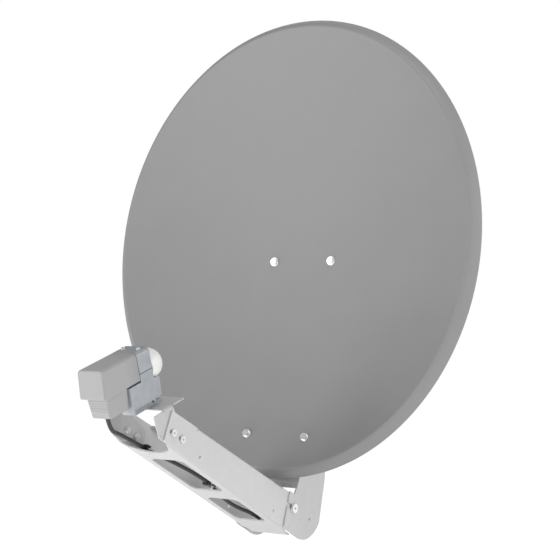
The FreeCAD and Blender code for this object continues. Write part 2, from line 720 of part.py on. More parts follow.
# ---------------------------------------------------------------- feed arm
def make_arm_channel():
    """Folded channel, open on top, with turned-in lips, a windowed floor and ears inside the frame's cheeks."""
    item = new_body("arm_channel", ARM)
    sheet = size("arm_sheet")
    front = size("arm_wall_front")
    rear = size("arm_wall_rear")
    long = size("arm_long")
    pivot = (size("arm_pivot_along"), size("arm_pivot_above"))
    ear = size("arm_ear_radius")
    tongue = size("arm_tongue")
    wall = [(0, 0), (tongue, 0), (tongue, sheet), polar(pivot, ear, 130), polar(pivot, ear, 80) + polar(pivot, ear, 12),
            (long - 6, rear), (-1.8, front)]
    side_pad(item, wall, "2 * <arm_half_wide>")
    hollow = [(-30, sheet), (tongue + 20, sheet), (tongue + 20, rear + 30), (-30, rear + 30)]
    side_pocket(item, hollow, "2 * (<arm_half_wide> - <arm_sheet> - <arm_lip>)")
    drop = (rear - front) / (long + 1.8)
    lip_start = 78
    lip_end = long - 26
    under = [(-30, sheet), (tongue + 20, sheet), (tongue + 20, rear + 30), (lip_end, rear + 30),
             (lip_end, front + drop * lip_end - sheet), (lip_start, front + drop * lip_start - sheet),
             (lip_start, rear + 30), (-30, rear + 30)]
    side_pocket(item, under, "2 * (<arm_half_wide> - <arm_sheet>)")
    half = size("arm_half_wide")
    inside = half - sheet
    floor = new_sketch(item, "XY_Plane")
    draw(floor, [(-inside, -5), (-inside, 8), (0, 50, inside, 8), (inside, -5)])
    draw(floor, window(80, 224))
    draw(floor, window(264, 379))
    pocket(item, floor, 3 * sheet)
    floor = new_sketch(item, "XY_Plane")
    draw(floor, [(-half - 1, long + 14), (-half + 9, long + 34), (-half + 9, tongue + 5), (-half - 1, tongue + 5)])
    draw(floor, [(half + 1, long + 14), (half + 1, tongue + 5), (half - 9, tongue + 5), (half - 9, long + 34)])
    pocket(item, floor, 3 * sheet)
    side_holes(item, [(size("arm_hole_front"), size("arm_hole_above")),
                      (size("arm_hole_rear"), size("arm_hole_above"))], "<arm_hole_radius>")
    side_holes(item, [pivot], "<bolt_radius>")
    for step in (0, 1):
        along = size("feed_screw_first") + step * size("feed_screw_apart")
        reach = size("feed_travel")
        above = size("feed_screw_above")
        side_pocket(item, slot(along - reach, above, along + reach, above, size("feed_screw_radius") + 0.4))
    sketch = new_sketch(item, "XY_Plane")
    for run in CLIP_RUNS:
        place = clip_frame(run).multVec(CLIP_SCREW)
        draw_circle(sketch, place.x, place.y, "2.1")
    pocket(item, sketch, 3 * sheet)


def window(start, end):
    """Lightening window in the arm's floor, with its corners cut off."""
    return [(-32, start + 8), (-22, start), (22, start), (32, start + 8),
            (32, end - 12), (24, end), (-24, end), (-32, end - 12)]


def make_arm_pivot():
    """A screw and a locknut on each side, carried by the arm's ear and hooked in the cheek's notch."""
    y = size("arm_pivot_along")
    z = size("arm_pivot_above")
    outer = size("frame_half_wide") + size("turning_gap")
    inner = size("arm_half_wide") - size("arm_sheet")
    screws = []
    nuts = []
    for hand, side in (("left", -1), ("right", 1)):
        outward = Vector(side, 0, 0)
        head = rod("arm_pivot_head_" + hand, "<washer_radius>", 4.6, outward * outer + Vector(0, y, z), outward, ARM)
        socket = hexagon("arm_pivot_drive_" + hand, "5", 2.6, outward * (outer + 2) + Vector(0, y, z), outward, ARM)
        shank = rod("arm_pivot_shank_" + hand, "<bolt_radius>", outer - inner + 9.5,
                    outward * (inner - 9.5) + Vector(0, y, z), outward, ARM)
        screws.append(fuse("arm_pivot_screw_" + hand,
                           [cut("arm_pivot_socket_" + hand, head, socket), shank]))
        nuts.append(hex_nut("arm_pivot_nut_" + hand, outward * inner + Vector(0, y, z), -outward, ARM))
    group("arm_pivot_screws", screws)
    group("arm_pivot_nuts", nuts)


# ---------------------------------------------------------------- lead
SOCKET_SEAT = -size("hood_floor") - 0.6
LEAD_FLOOR = size("arm_sheet") + size("lead_radius") + 1.8
COUPLER_UP = size("arm_sheet") + 9.2


def lead_start():
    """Where the lead leaves its plug under the converter, in the arm's frame."""
    along, above = feed_to_arm(-140, SOCKET_SEAT - size("plug_long"))
    return Vector(-size("socket_apart") / 2, along, above)


def lead_points():
    """Route of the lead in the arm's frame, from the converter's plug to the coupler's plug."""
    start = lead_start()
    out = FEED_IN_ARM.Rotation.multVec(Vector(0, 0, -1))
    return [start, start + out * 38,
            Vector(-19, -29, -1), Vector(-28, 10, 5), Vector(-29, 40, LEAD_FLOOR + 0.2),
            Vector(-24, 72, LEAD_FLOOR), Vector(-9, 110, LEAD_FLOOR + 0.6), Vector(2, 149, LEAD_FLOOR + 0.2),
            Vector(6, 188, LEAD_FLOOR + 0.5), Vector(3, 222, LEAD_FLOOR), Vector(-7, 266, LEAD_FLOOR + 0.2),
            Vector(-13, 304, LEAD_FLOOR + 0.6), Vector(-10, 340, LEAD_FLOOR + 1), Vector(0, 374, COUPLER_UP),
            Vector(0, 398, COUPLER_UP)]


def clip_frame(run):
    """A clip's frame on the arm's floor: in the middle of a run of the lead and in line with it."""
    first, second = lead_points()[run:run + 2]
    middle = (first + second) / 2
    turn = degrees(atan((first.x - second.x) / (second.y - first.y)))
    return Placement(Vector(middle.x, middle.y, 0), Rotation(Z_AXIS, turn))


CLIP_RUNS = (4, 8)
CLIP_SCREW = Vector(11.5, 0, 0)


def coupler_place():
    return (0, 398)


def rounded_path(points):
    """Straight runs joined by tangent arcs, each as large as its two runs allow."""
    edges = []
    last = points[0]
    for before, corner, after in zip(points, points[1:], points[2:]):
        arriving = corner - before
        leaving = after - corner
        turn = arriving.getAngle(leaving)
        setback = 0.45 * min(arriving.Length, leaving.Length)
        radius = setback / tan(turn / 2)
        print("lead bend radius %.0f mm, turn %.0f degrees" % (radius, degrees(turn)))
        arriving.normalize()
        leaving.normalize()
        first = corner - arriving * setback
        second = corner + leaving * setback
        inward = leaving - arriving
        inward.normalize()
        bulge = corner + inward * (radius / cos(turn / 2) - radius)
        edges.append(Part.LineSegment(last, first).toShape())
        edges.append(Part.Arc(first, bulge, second).toShape())
        last = second
    edges.append(Part.LineSegment(last, points[-1]).toShape())
    return Part.Wire(edges)


def make_lead():
    """Coaxial lead, whole, from plug to plug along the arm."""
    path = rounded_path(lead_points())
    start = path.Edges[0]
    direction = start.tangentAt(start.FirstParameter)
    circle = Part.Wire([Part.makeCircle(size("lead_radius"), start.valueAt(start.FirstParameter), direction)])
    solid = path.makePipeShell([circle], True, False)
    expected = pi * size("lead_radius") ** 2 * path.Length
    print("lead: %.0f mm long, volume %.4f of its section times length" % (path.Length, solid.Volume / expected))
    item = DOC.addObject("Part::Feature", "coax_lead")
    item.Shape = solid
    item.Placement = ARM


def make_clips():
    """Moulded saddle clips screwed to the arm's floor over the lead."""
    sheet = size("arm_sheet")
    side = size("lead_radius") + 3
    wide = size("clip_wide")
    clips = []
    screws = []
    for number, run in enumerate(CLIP_RUNS):
        frame = ARM.multiply(clip_frame(run))
        seat = CLIP_SCREW + Vector(0, 0, sheet)
        block = box("clip_block_%d" % number, ["2 * <lead_radius> + 6", "<clip_wide>", "2 * <lead_radius> + 4.5"],
                    Vector(-side, -wide / 2, sheet), frame)
        foot = box("clip_foot_%d" % number, [14, "<clip_wide>", 2.4], Vector(2, -wide / 2, sheet), frame)
        bore = rod("clip_bore_%d" % number, "<lead_radius> + 1.1", 3 * wide,
                   Vector(0, -1.5 * wide, LEAD_FLOOR + 0.1), Y_AXIS, frame)
        hole = rod("clip_hole_%d" % number, 2.1, 9, seat - Z_AXIS * 3, Z_AXIS, frame)
        solid = fuse("clip_solid_%d" % number, [block, foot])
        clips.append(cut("clip_%d" % number, cut("clip_bored_%d" % number, solid, bore), hole))
        head = rod("clip_head_%d" % number, 3.6, 2.2, seat + Z_AXIS * 2.4, Z_AXIS, frame)
        shank = rod("clip_shank_%d" % number, 2.0, 8, seat - Z_AXIS * 5.6, Z_AXIS, frame)
        screws.append(fuse("clip_screw_%d" % number, [head, shank]))
    group("cable_clips", clips)
    group("cable_clip_screws", screws)


def f_plug(name, base, direction, frame):
    """Screw-on cable plug: a hexagon nut with a crimped sleeve towards the lead."""
    nut = hexagon(name + "_nut", "<plug_across>", 10, base, direction, frame)
    sleeve = rod(name + "_sleeve", "<lead_radius> + 0.9", "<plug_long>", base, direction, frame)
    thread = rod(name + "_thread", "<thread_radius>", 8, base, direction, frame)
    return cut(name, fuse(name + "_solid", [nut, sleeve]), thread)


def make_coupler():
    """The lead's far end: a plug on a threaded coupler that a small bracket holds on the arm's floor."""
    x, start = coupler_place()
    sheet = size("arm_sheet")
    long = size("plug_long")
    f_plug("arm_f_plug", Vector(x, start + long, COUPLER_UP), Vector(0, -1, 0), ARM)
    barrel = rod("coupler_barrel", "<thread_radius>", 32, Vector(x, start + long - 8, COUPLER_UP), Y_AXIS, ARM)
    collar = rod("coupler_collar", "<thread_radius> + 1.4", 2.5, Vector(x, start + long, COUPLER_UP), Y_AXIS, ARM)
    neck = rod("coupler_neck", "<thread_radius> + 0.3", 6.5, Vector(x, start + long, COUPLER_UP), Y_AXIS, ARM)
    fuse("coax_coupler", [barrel, collar, neck])
    plate_at = start + long + 2.5
    upright = box("coupler_upright", [18, 1.5, 2 * (COUPLER_UP - sheet)], Vector(x - 9, plate_at, sheet), ARM)
    foot = box("coupler_foot", [18, 16, 1.5], Vector(x - 9, plate_at, sheet), ARM)
    hole = rod("coupler_hole", "<thread_radius> + 0.3", 6, Vector(x, plate_at - 2, COUPLER_UP), Y_AXIS, ARM)
    cut("coupler_bracket", fuse("coupler_angle", [upright, foot]), hole)
    ring = rod("coupler_nut_outside", "<thread_radius> + 2.4", 2.5, Vector(x, plate_at + 1.5, COUPLER_UP),
               Y_AXIS, ARM)
    thread = rod("coupler_nut_thread", "<thread_radius> + 0.3", 2.5, Vector(x, plate_at + 1.5, COUPLER_UP),
                 Y_AXIS, ARM)
    nut = cut("coupler_nut", ring, thread)
    nut.Label = "coupler_nut"


# ---------------------------------------------------------------- feed bracket
def make_feed_bracket():
    """Folded sheet: cheeks inside the arm's walls, a sloping table for the converter."""
    item = new_body("feed_bracket", ARM)
    sheet = size("feed_sheet")
    floor = size("arm_sheet") + 0.5
    table = -size("shell_bottom") - size("foot_high")
    front = feed_to_arm(-69, table)
    rear = feed_to_arm(-12, table)
    rear_low = feed_to_arm(-12, table - sheet)
    front_low = feed_to_arm(-69, table - sheet)
    mid = feed_to_arm(-45, table)
    cheek = [(-37.6, 27), front, mid, (17, size("arm_wall_front") - 4), (64, size("arm_wall_front") - 12),
             (68, 34), (68, floor), (-10, floor)]
    side_pad(item, cheek, "2 * (<arm_half_wide> - <arm_sheet> - <side_gap>)")
    side_pad(item, [front, rear, rear_low, front_low], "2 * (<arm_half_wide> - <arm_sheet> - <side_gap>)")
    drop = [front_low, rear_low, (rear_low[0] + 80, rear_low[1] - 10), (120, -30), (-80, -30), (-80, front_low[1] + 5),
            (front_low[0] - 6, front_low[1] + 6)]
    side_pocket(item, drop, "2 * (<arm_half_wide> - <arm_sheet> - <side_gap> - <feed_sheet>)")
    holes = []
    for step in (0, 1):
        holes.append((size("feed_screw_first") + step * size("feed_screw_apart"), size("feed_screw_above")))
    side_holes(item, holes, "<feed_screw_radius>")
    side_holes(item, [(-9, 8)], "1.6")
    tools = []
    for side in (-1, 1):
        tools.append(rod("table_hole", 2.2, 12, Vector(side * 6.5, -42, table - 6), Z_AXIS, FEED))
    item.Label = "feed_bracket_blank"
    cut("feed_bracket", item, fuse("table_holes", tools))


def make_feed_screws():
    """Pan-head screws through the arm's slots, and their nuts inside the bracket."""
    outer = size("arm_half_wide")
    inner = outer - size("arm_sheet") - size("side_gap") - size("feed_sheet")
    above = size("feed_screw_above")
    screws = []
    nuts = []
    for hand, side in (("left", -1), ("right", 1)):
        outward = Vector(side, 0, 0)
        for step in (0, 1):
            tag = "%s_%d" % (hand, step)
            place = Vector(0, size("feed_screw_first") + step * size("feed_screw_apart"), above)
            seat = outer + 0.1
            head = rod("feed_head_" + tag, "<feed_head_radius>", "<feed_head_high>", outward * seat + place,
                       outward, ARM)
            drive = hexagon("feed_drive_" + tag, "4", 2, outward * (seat + 1.6) + place, outward, ARM)
            shank = rod("feed_shank_" + tag, "<feed_screw_radius>", seat - inner + 7,
                        outward * (inner - 7) + place, outward, ARM)
            screws.append(fuse("feed_screw_" + tag, [cut("feed_socket_" + tag, head, drive), shank]))
            nut = hexagon("feed_nut_hex_" + tag, "10", 5, outward * inner + place, -outward, ARM)
            bore = rod("feed_nut_bore_" + tag, "<feed_screw_radius>", 5, outward * inner + place, -outward, ARM)
            nuts.append(cut("feed_nut_" + tag, nut, bore))
    group("feed_bracket_screws", screws)
    group("feed_bracket_nuts", nuts)


# ---------------------------------------------------------------- converter
def make_lower_shell():
    """Die-cast lower half of the converter, with its foot and the block that carries the sockets."""
    item = new_body("lnb_lower_shell", FEED)
    bottom = -size("shell_bottom")
    wall = size("shell_wall")
    top = -size("gasket_thick") / 2
    under = -size("hood_floor") + size("hood_wall") + size("slide_gap")
    block = "(<hood_half_wide> - <hood_wall> - <slide_gap>)"
    side_pad(item, [(-118, bottom), (-42, bottom), (-40, -27), (-40, -19), (-54, -17), (-54, top), (-87, top),
                    (-87, -13), (-118, -13)], "2 * <shell_half_wide>")
    side_pad(item, [(-155, under), (-86, under), (-86, top), (-155, top)], "2 * " + block)
    side_pad(item, [(-100, bottom + 1), (-100, bottom - size("foot_high")), (-30, bottom - size("foot_high")),
                    (-30, bottom - size("foot_high") + 4), (-52, bottom - size("foot_high") + 4), (-58, bottom + 1)],
             "2 * <foot_half_wide>")
    side_pocket(item, [(-118 + wall, bottom + wall), (-44, bottom + wall), (-44, -29), (-54 - wall, -29),
                       (-54 - wall, 5), (-87 + wall, 5), (-87 + wall, -13 - wall), (-118 + wall, -13 - wall)],
                "2 * (<shell_half_wide> - <shell_wall>)")
    side_pocket(item, [(-155 + wall, under + wall), (-80, under + wall), (-80, 5), (-155 + wall, 5)],
                "2 * (%s - <shell_wall>)" % block)
    sketch = new_sketch(item, "XZ_Plane", 54)
    draw_circle(sketch, 0, 0, "<cap_radius> + 0.6")
    pocket(item, sketch, 40, both=False, back=False)
    tools = []
    for side in (-1, 1):
        x = side * size("socket_apart") / 2
        tools.append(rod("socket_hole", "<thread_radius>", 12, Vector(x, -140, -15), Z_AXIS, FEED))
        tools.append(rod("foot_hole", 2.2, 12, Vector(side * 6.5, -42, bottom - size("foot_high") - 4), Z_AXIS, FEED))
    item.Label = "lnb_lower_shell_blank"
    cut("lnb_lower_shell", item, fuse("lower_shell_holes", tools))


def rounded_top(half, low, high, corner):
    """Front view of a cover with two rounded upper corners, as (x, z)."""
    bend = corner * (1 - cos(pi / 4))
    return [(-half, low), (half, low), (half, high - corner),
            (half - bend, high - bend, half - corner, high), (-half + corner, high),
            (-half + bend, high - bend, -half, high - corner)]


def front_pad(item, outline, near, long):
    """Pad a front view backwards: from near, for a length, along the frame's +Y."""
    sketch = new_sketch(item, "XZ_Plane", -near)
    draw(sketch, outline)
    return pad(item, sketch, long, both=False, back=True)


def front_pocket(item, outline, near, long):
    sketch = new_sketch(item, "XZ_Plane", -near)
    draw(sketch, outline)
    return pocket(item, sketch, long, both=False, back=False)


def make_upper_shell():
    """Die-cast upper half: flush with the hood where it shows, narrower where the hood covers it."""
    item = new_body("lnb_upper_shell", FEED)
    half = size("shell_half_wide")
    slack = size("hood_wall") + size("slide_gap")
    block = size("hood_half_wide") - slack
    wall = size("shell_wall")
    low = size("gasket_thick") / 2
    top = size("shell_top")
    cover_top = size("hood_top") - slack
    front_pad(item, rounded_top(half, low, top, 7), -87, 33)
    front_pad(item, rounded_top(block, low, cover_top, 7 - slack), -155, 70)
    front_pocket(item, rounded_top(half - wall, low - 1, top - wall, 5), -87 + wall, 33 - 2 * wall)
    front_pocket(item, rounded_top(block - wall, low - 1, cover_top - wall, 3), -155 + wall, 70)
    sketch = new_sketch(item, "XZ_Plane", 54 - 1)
    draw_circle(sketch, 0, 0, "<horn_radius> - 1.5")
    pocket(item, sketch, 8, both=False, back=True)


def make_gasket():
    """Flat sealing frame between the two shells."""
    half = size("shell_half_wide")
    thick = size("gasket_thick")
    outside = box("gasket_outside", ["2 * (<shell_half_wide> - 0.4)", 33, "<gasket_thick>"],
                  Vector(-half + 0.4, -87, -thick / 2), FEED)
    inside = box("gasket_inside", ["2 * (<shell_half_wide> - <shell_wall>)", 40, "<gasket_thick> + 2"],
                 Vector(-half + size("shell_wall"), -87 + size("shell_wall"), -thick / 2 - 1), FEED)
    cut("shell_gasket", outside, inside)


def make_horn_and_cap():
    """Feed horn, its sealing ring and the domed white cap."""
    radius = size("cap_radius")
    wall = size("cap_wall")
    face = -54
    straight = 18
    outer = rod("horn_outside", "<horn_radius>", straight + 2, Vector(0, face, 0), Y_AXIS, FEED)
    throat = rod("horn_throat", 10, 60, Vector(0, face - 20, 0), Y_AXIS, FEED)
    mouth = DOC.addObject("Part::Cone", "horn_mouth")
    mouth.Radius1 = 10
    bind(mouth, "Radius2", "<horn_radius> - 2")
    mouth.Height = straight + 2
    mouth.Placement = FEED.multiply(Placement(Vector(0, face + 4.2, 0), Rotation(Z_AXIS, Y_AXIS)))
    cut("feed_horn", outer, fuse("horn_hollow", [throat, mouth]))
    ring = DOC.addObject("Part::Torus", "cap_seal")
    bind(ring, "Radius1", "<horn_radius>")
    bind(ring, "Radius2", "<cap_radius> - <cap_wall> - <horn_radius>")
    ring.Placement = FEED.multiply(Placement(Vector(0, face + 9, 0), Rotation(Z_AXIS, Y_AXIS)))
    ring.Label = "cap_seal_ring"
    trimmed = cut("cap_seal", ring, rod("seal_core", "<horn_radius>", 30, Vector(0, face, 0), Y_AXIS, FEED))
    trimmed.Label = "cap_seal"

    item = new_body("feed_cap", FEED)
    sketch = new_sketch(item, "XY_Plane")
    bend = cos(pi / 4)
    draw(sketch, [(0, face + 0.6), (radius, face + 0.6), (radius, face + straight),
                  (radius * bend, face + straight + radius * bend, 0, face + straight + radius)])
    turn = item.newObject("PartDesign::Revolution", "feed_cap_turn")
    turn.Profile = sketch
    turn.ReferenceAxis = (sketch, ["V_Axis"])
    turn.Angle = 360
    inner = radius - wall
    hollow = new_sketch(item, "XY_Plane")
    draw(hollow, [(0, face - 2), (inner, face - 2), (inner, face + straight),
                  (inner * bend, face + straight + inner * bend, 0, face + straight + inner)])
    groove = item.newObject("PartDesign::Groove", "feed_cap_hollow")
    groove.Profile = hollow
    groove.ReferenceAxis = (hollow, ["V_Axis"])
    groove.Angle = 360


def make_electronics():
    """Circuit board on its posts, the two probes in the waveguide and the sockets for the leads."""
    half = size("hood_half_wide") - size("hood_wall") - size("slide_gap") - size("shell_wall")
    board = 4.0
    box("circuit_board", ["2 * (<hood_half_wide> - <hood_wall> - <slide_gap> - <shell_wall>)", 92, "<board_thick>"],
        Vector(-half, -151, board), FEED)
    probes = [rod("probe_0", 0.8, board - 0.5, Vector(0, -62, 0.5), Z_AXIS, FEED),
              rod("probe_1", 0.8, board - 0.5, Vector(4, -66, 0.5), Z_AXIS, FEED)]
    group("waveguide_probes", probes)
    sockets = []
    for number, side in enumerate((-1, 1)):
        x = side * size("socket_apart") / 2
        low = SOCKET_SEAT - 8
        thread = rod("socket_thread_%d" % number, "<thread_radius>", 30, Vector(x, -140, low), Z_AXIS, FEED)
        flange = hexagon("socket_flange_%d" % number, "<plug_across>", 2.3, Vector(x, -140, SOCKET_SEAT),
                         Z_AXIS, FEED)
        bore = rod("socket_bore_%d" % number, 2.4, 14, Vector(x, -140, low - 1), Z_AXIS, FEED)
        trim = box("socket_trim_%d" % number, [30, 30, 30], Vector(x - 15, -155, board), FEED)
        solid = fuse("socket_solid_%d" % number, [thread, flange])
        sockets.append(cut("socket_%d" % number, cut("socket_hollow_%d" % number, solid, bore), trim))
    group("f_sockets", sockets)
    f_plug("lnb_f_plug", Vector(-size("socket_apart") / 2, -140, SOCKET_SEAT), Vector(0, 0, -1), FEED)
    end = Vector(size("socket_apart") / 2, -140, SOCKET_SEAT - 10.4)
    cap = rod("socket_cap_outside", "<thread_radius> + 1.4", 10, end, Z_AXIS, FEED)
    inside = rod("socket_cap_inside", "<thread_radius>", 10, end + Z_AXIS * 2.4, Z_AXIS, FEED)
    item = cut("socket_cap", cap, inside)
    item.Label = "socket_cap"


def make_shell_screws():
    """Four screws down through the upper shell, and two up through the bracket's table into the foot."""
    top = size("shell_top")
    screws = []
    for number, (x, along) in enumerate([(-15, -68), (15, -68)]):
        head = rod("shell_head_%d" % number, 3.4, 2.2, Vector(x, along, top), Z_AXIS, FEED)
        drive = hexagon("shell_drive_%d" % number, "2.6", 1.4, Vector(x, along, top + 1), Z_AXIS, FEED)
        screws.append(cut("shell_screw_%d" % number, head, drive))
    group("shell_screws", screws)
    table = -size("shell_bottom") - size("foot_high")
    screws = []
    for number, side in enumerate((-1, 1)):
        place = Vector(side * 6.5, -42, table)
        shank = rod("foot_shank_%d" % number, 2.1, 12, place - Z_AXIS * 6, Z_AXIS, FEED)
        head = rod("foot_head_%d" % number, 4.0, 3.0, place + Z_AXIS * 4, Z_AXIS, FEED)
        nut = hexagon("foot_nut_%d" % number, "7", 3, place - Z_AXIS * (size("feed_sheet") + 3), Z_AXIS, FEED)
        screws.append(fuse("foot_screw_%d" % number, [shank, head, nut]))
    group("foot_screws", screws)


# ---------------------------------------------------------------- weather hood
def make_hood():
    """Upper hood, a box open to the rear, and the ribbed grip cover under it, open behind and below."""
    half = size("hood_half_wide")
    wall = size("hood_wall")
    top = size("hood_top")
    low = -size("hood_floor")
    item = new_body("weather_hood", FEED)
    front_pad(item, rounded_top(half, low, top, 7), -175, 87.4)
    front_pocket(item, rounded_top(half - wall, low + wall, top - wall, 7 - wall), -175 + wall, 100)
    sketch = new_sketch(item, "XY_Plane", low - 1)
    draw(sketch, [(-18, -163), (18, -163), (18, -80), (-18, -80)])
    pocket(item, sketch, 8, both=False, back=True)
    item = new_body("hood_grip_cover", FEED)
    grip = size("grip_half_wide")
    bottom = -45
    side_pad(item, [(-168, low), (-166, bottom + 6), (-164, bottom + 1.8, -158, bottom), (-119.5, bottom),
                    (-119.5, low)], "2 * <grip_half_wide>")
    side_pocket(item, [(-168 + 2 * wall, low + 1), (-166 + 2 * wall, bottom - 2), (-110, bottom - 2), (-110, low + 1)],
                "2 * (<grip_half_wide> - <hood_wall>)")
    for level in range(4):
        z = low - 8 - 6 * level
        side_pad(item, [(-168.5, z), (-166, z), (-166, z + 2), (-168.5, z + 2)], "2 * (<grip_half_wide> - 3)")


# ---------------------------------------------------------------- build and write
reflector = make_reflector()
make_reflector_fasteners(reflector)
make_rear_frame()
make_frame_tie()
make_mast_bracket()
make_clamp()
make_elevation_fasteners()
make_arm_channel()
make_arm_pivot()
make_lead()
make_clips()
make_coupler()
make_feed_bracket()
make_feed_screws()
make_lower_shell()
make_upper_shell()
make_gasket()
make_horn_and_cap()
make_electronics()
make_shell_screws()
make_hood()
DOC.recompute()

NODES = [
    "reflector", "reflector_bolts", "reflector_spacers", "reflector_nuts",
    "rear_frame", "frame_tie_tube", "frame_tie_bolt", "frame_tie_nut",
    "mast_bracket", "elevation_pivot_bolt", "elevation_pivot_nut", "elevation_lock_bolt", "elevation_lock_nut",
    "bracket_spacer_tubes", "elevation_washers", "clamp_bolts",
    "upper_clamp_jaw", "lower_clamp_jaw", "clamp_washers", "clamp_nuts",
    "arm_channel", "arm_pivot_screws", "arm_pivot_nuts", "coax_lead", "cable_clips", "cable_clip_screws",
    "arm_f_plug", "coax_coupler", "coupler_bracket", "coupler_nut",
    "feed_bracket", "feed_bracket_screws", "feed_bracket_nuts", "foot_screws",
    "lnb_lower_shell", "lnb_upper_shell", "shell_gasket", "shell_screws", "feed_horn", "cap_seal", "feed_cap",
    "circuit_board", "waveguide_probes", "f_sockets", "lnb_f_plug", "socket_cap",
    "weather_hood", "hood_grip_cover",
]

os.makedirs("parts", exist_ok=True)
failed = [item.Label for item in DOC.Objects if "Invalid" in item.State or "Error" in item.State]
shapes = {}
for node in NODES:
    matches = [item for item in DOC.Objects if item.Label == node]
    if len(matches) != 1 or matches[0].Shape.isNull() or not matches[0].Shape.isValid():
        failed.append(node)
    else:
        shapes[node] = matches[0].Shape
if failed:
    raise SystemExit("not built: " + ", ".join(sorted(set(failed))))
for node, shape in shapes.items():
    shape.exportStep("parts/%s.step" % node)
    print("%-24s %2d solids %10.0f mm3" % (node, len(shape.Solids), shape.Volume))
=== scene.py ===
# %% [markdown]
# # A satellite dish, finished around its working frame
# The engineering model gives every piece its true size and place. This notebook gives each piece its
# finish. Sheet pieces are cut flat and folded, the bowl is turned from its own curve, and the small
# hardware keeps the engineering mesh and gets softened edges and a metal of its own.

# %% Load the frame
import json
import math

import bmesh
import bpy
from mathutils import Matrix, Vector
from mathutils.geometry import delaunay_2d_cdt


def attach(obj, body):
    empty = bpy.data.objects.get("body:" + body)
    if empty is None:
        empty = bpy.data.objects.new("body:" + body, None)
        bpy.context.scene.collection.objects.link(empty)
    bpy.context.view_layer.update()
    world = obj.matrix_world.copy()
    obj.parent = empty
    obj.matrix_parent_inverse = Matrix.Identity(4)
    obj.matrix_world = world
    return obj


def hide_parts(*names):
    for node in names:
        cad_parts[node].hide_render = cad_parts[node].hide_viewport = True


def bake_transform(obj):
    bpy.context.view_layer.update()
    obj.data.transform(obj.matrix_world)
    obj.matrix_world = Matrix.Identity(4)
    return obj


MM = 0.001
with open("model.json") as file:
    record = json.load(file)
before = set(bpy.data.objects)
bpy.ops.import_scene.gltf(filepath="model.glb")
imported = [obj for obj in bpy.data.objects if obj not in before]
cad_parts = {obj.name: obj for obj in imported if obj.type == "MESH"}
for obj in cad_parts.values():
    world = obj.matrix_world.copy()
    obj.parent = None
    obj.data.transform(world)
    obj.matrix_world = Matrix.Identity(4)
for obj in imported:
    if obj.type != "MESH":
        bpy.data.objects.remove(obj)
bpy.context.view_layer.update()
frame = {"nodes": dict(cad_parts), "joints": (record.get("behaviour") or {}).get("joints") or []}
nodes = frame["nodes"]
joints = {joint["name"]: joint for joint in frame["joints"]}

# %% [markdown]
# ## Three slanted workbenches
# The dish leans back, the feed arm slopes and the converter tilts once more. Each of the three gets a
# frame of its own, so that a piece can be drawn square and then set down in its place. The joints
# already hold the directions: the arm runs along its slide and the hood pulls off along the horn.

# %% Build the dish, arm and feed frames from the joints
X_AXIS = Vector((1, 0, 0))


def bench(origin, along, up):
    """Frame with Y running along a piece and Z standing up from it."""
    turn = Matrix((X_AXIS, along, up)).transposed().to_4x4()
    return Matrix.Translation(origin) @ turn


REST_LEAN = math.radians(8.0)
rim_back = Vector((0, math.cos(REST_LEAN), -math.sin(REST_LEAN)))
rim_up = X_AXIS.cross(rim_back)
pivot_in_dish = Vector((0, 137.894, -300.068)) * MM
pivot = Vector(joints["elevation"]["pos_m"])
DISH = bench(pivot - rim_back * pivot_in_dish.y - rim_up * pivot_in_dish.z, rim_back, rim_up)

arm_along = Vector(joints["feed_shift"]["axis"])
arm_up = X_AXIS.cross(arm_along)
fold_pivot = Vector(joints["arm_fold"]["pos_m"])
ARM = bench(fold_pivot - arm_along * 423.3 * MM - arm_up * 43.4 * MM, arm_along, arm_up)

horn_along = -Vector(joints["hood_pull"]["axis"])
horn_up = X_AXIS.cross(horn_along)
FEED = bench(ARM @ Vector((0, -13.7 * MM, 141.7 * MM)), horn_along, horn_up)
print("rim centre", [round(x, 4) for x in DISH.translation])

# %% [markdown]
# ## A studio camera
# A long lens from a little to the right and just below the middle keeps the bowl's ellipse calm.

# %% Set up the camera
aim = Vector((0.0, -0.2169, 0.1829))
azimuth = math.radians(31.0)
elevation = math.radians(-1.09)
distance = 2.361
back = Vector((math.sin(azimuth) * math.cos(elevation), -math.cos(azimuth) * math.cos(elevation),
               math.sin(elevation)))
camera_data = bpy.data.cameras.new("studio_camera")
camera_data.lens = 80.6
camera_data.sensor_width = 36.0
camera = bpy.data.objects.new("studio_camera", camera_data)
camera.location = aim + back * distance
camera.rotation_mode = "QUATERNION"
camera.rotation_quaternion = (-back).to_track_quat("-Z", "Y")
bpy.context.scene.collection.objects.link(camera)
bpy.context.scene.camera = camera
print("camera at", [round(x, 3) for x in camera.location])

# %% [markdown]
# ## Soft light
# Large lamps make the smooth, slow shading that satin paint shows. The brightest stands low in front on
# the left, weaker ones fill from the right, the top and behind, and the white room does the rest. The
# room looks white to the camera but adds less light than that, or it would wash the shading out.

# %% Hang the lamps
def soft_lamp(name, place, target, width, power):
    data = bpy.data.lights.new(name, "AREA")
    data.shape = "DISK"
    data.size = width
    data.energy = power
    lamp = bpy.data.objects.new(name, data)
    lamp.location = place
    lamp.rotation_mode = "QUATERNION"
    lamp.rotation_quaternion = (Vector(target) - Vector(place)).to_track_quat("-Z", "Y")
    bpy.context.scene.collection.objects.link(lamp)
    return lamp


soft_lamp("front_lamp", (-1.5, -3.2, 0.3), (0, -0.3, 0.1), 1.8, 43)
soft_lamp("right_lamp", (2.6, 0.5, 1.0), (0, -0.3, 0.0), 1.4, 26)
soft_lamp("top_lamp", (0.9, -1.0, 2.9), (0, -0.3, 0.0), 1.4, 27)
soft_lamp("rear_lamp", (-0.8, 2.4, 2.2), (0, -0.1, 0.2), 2.0, 28)

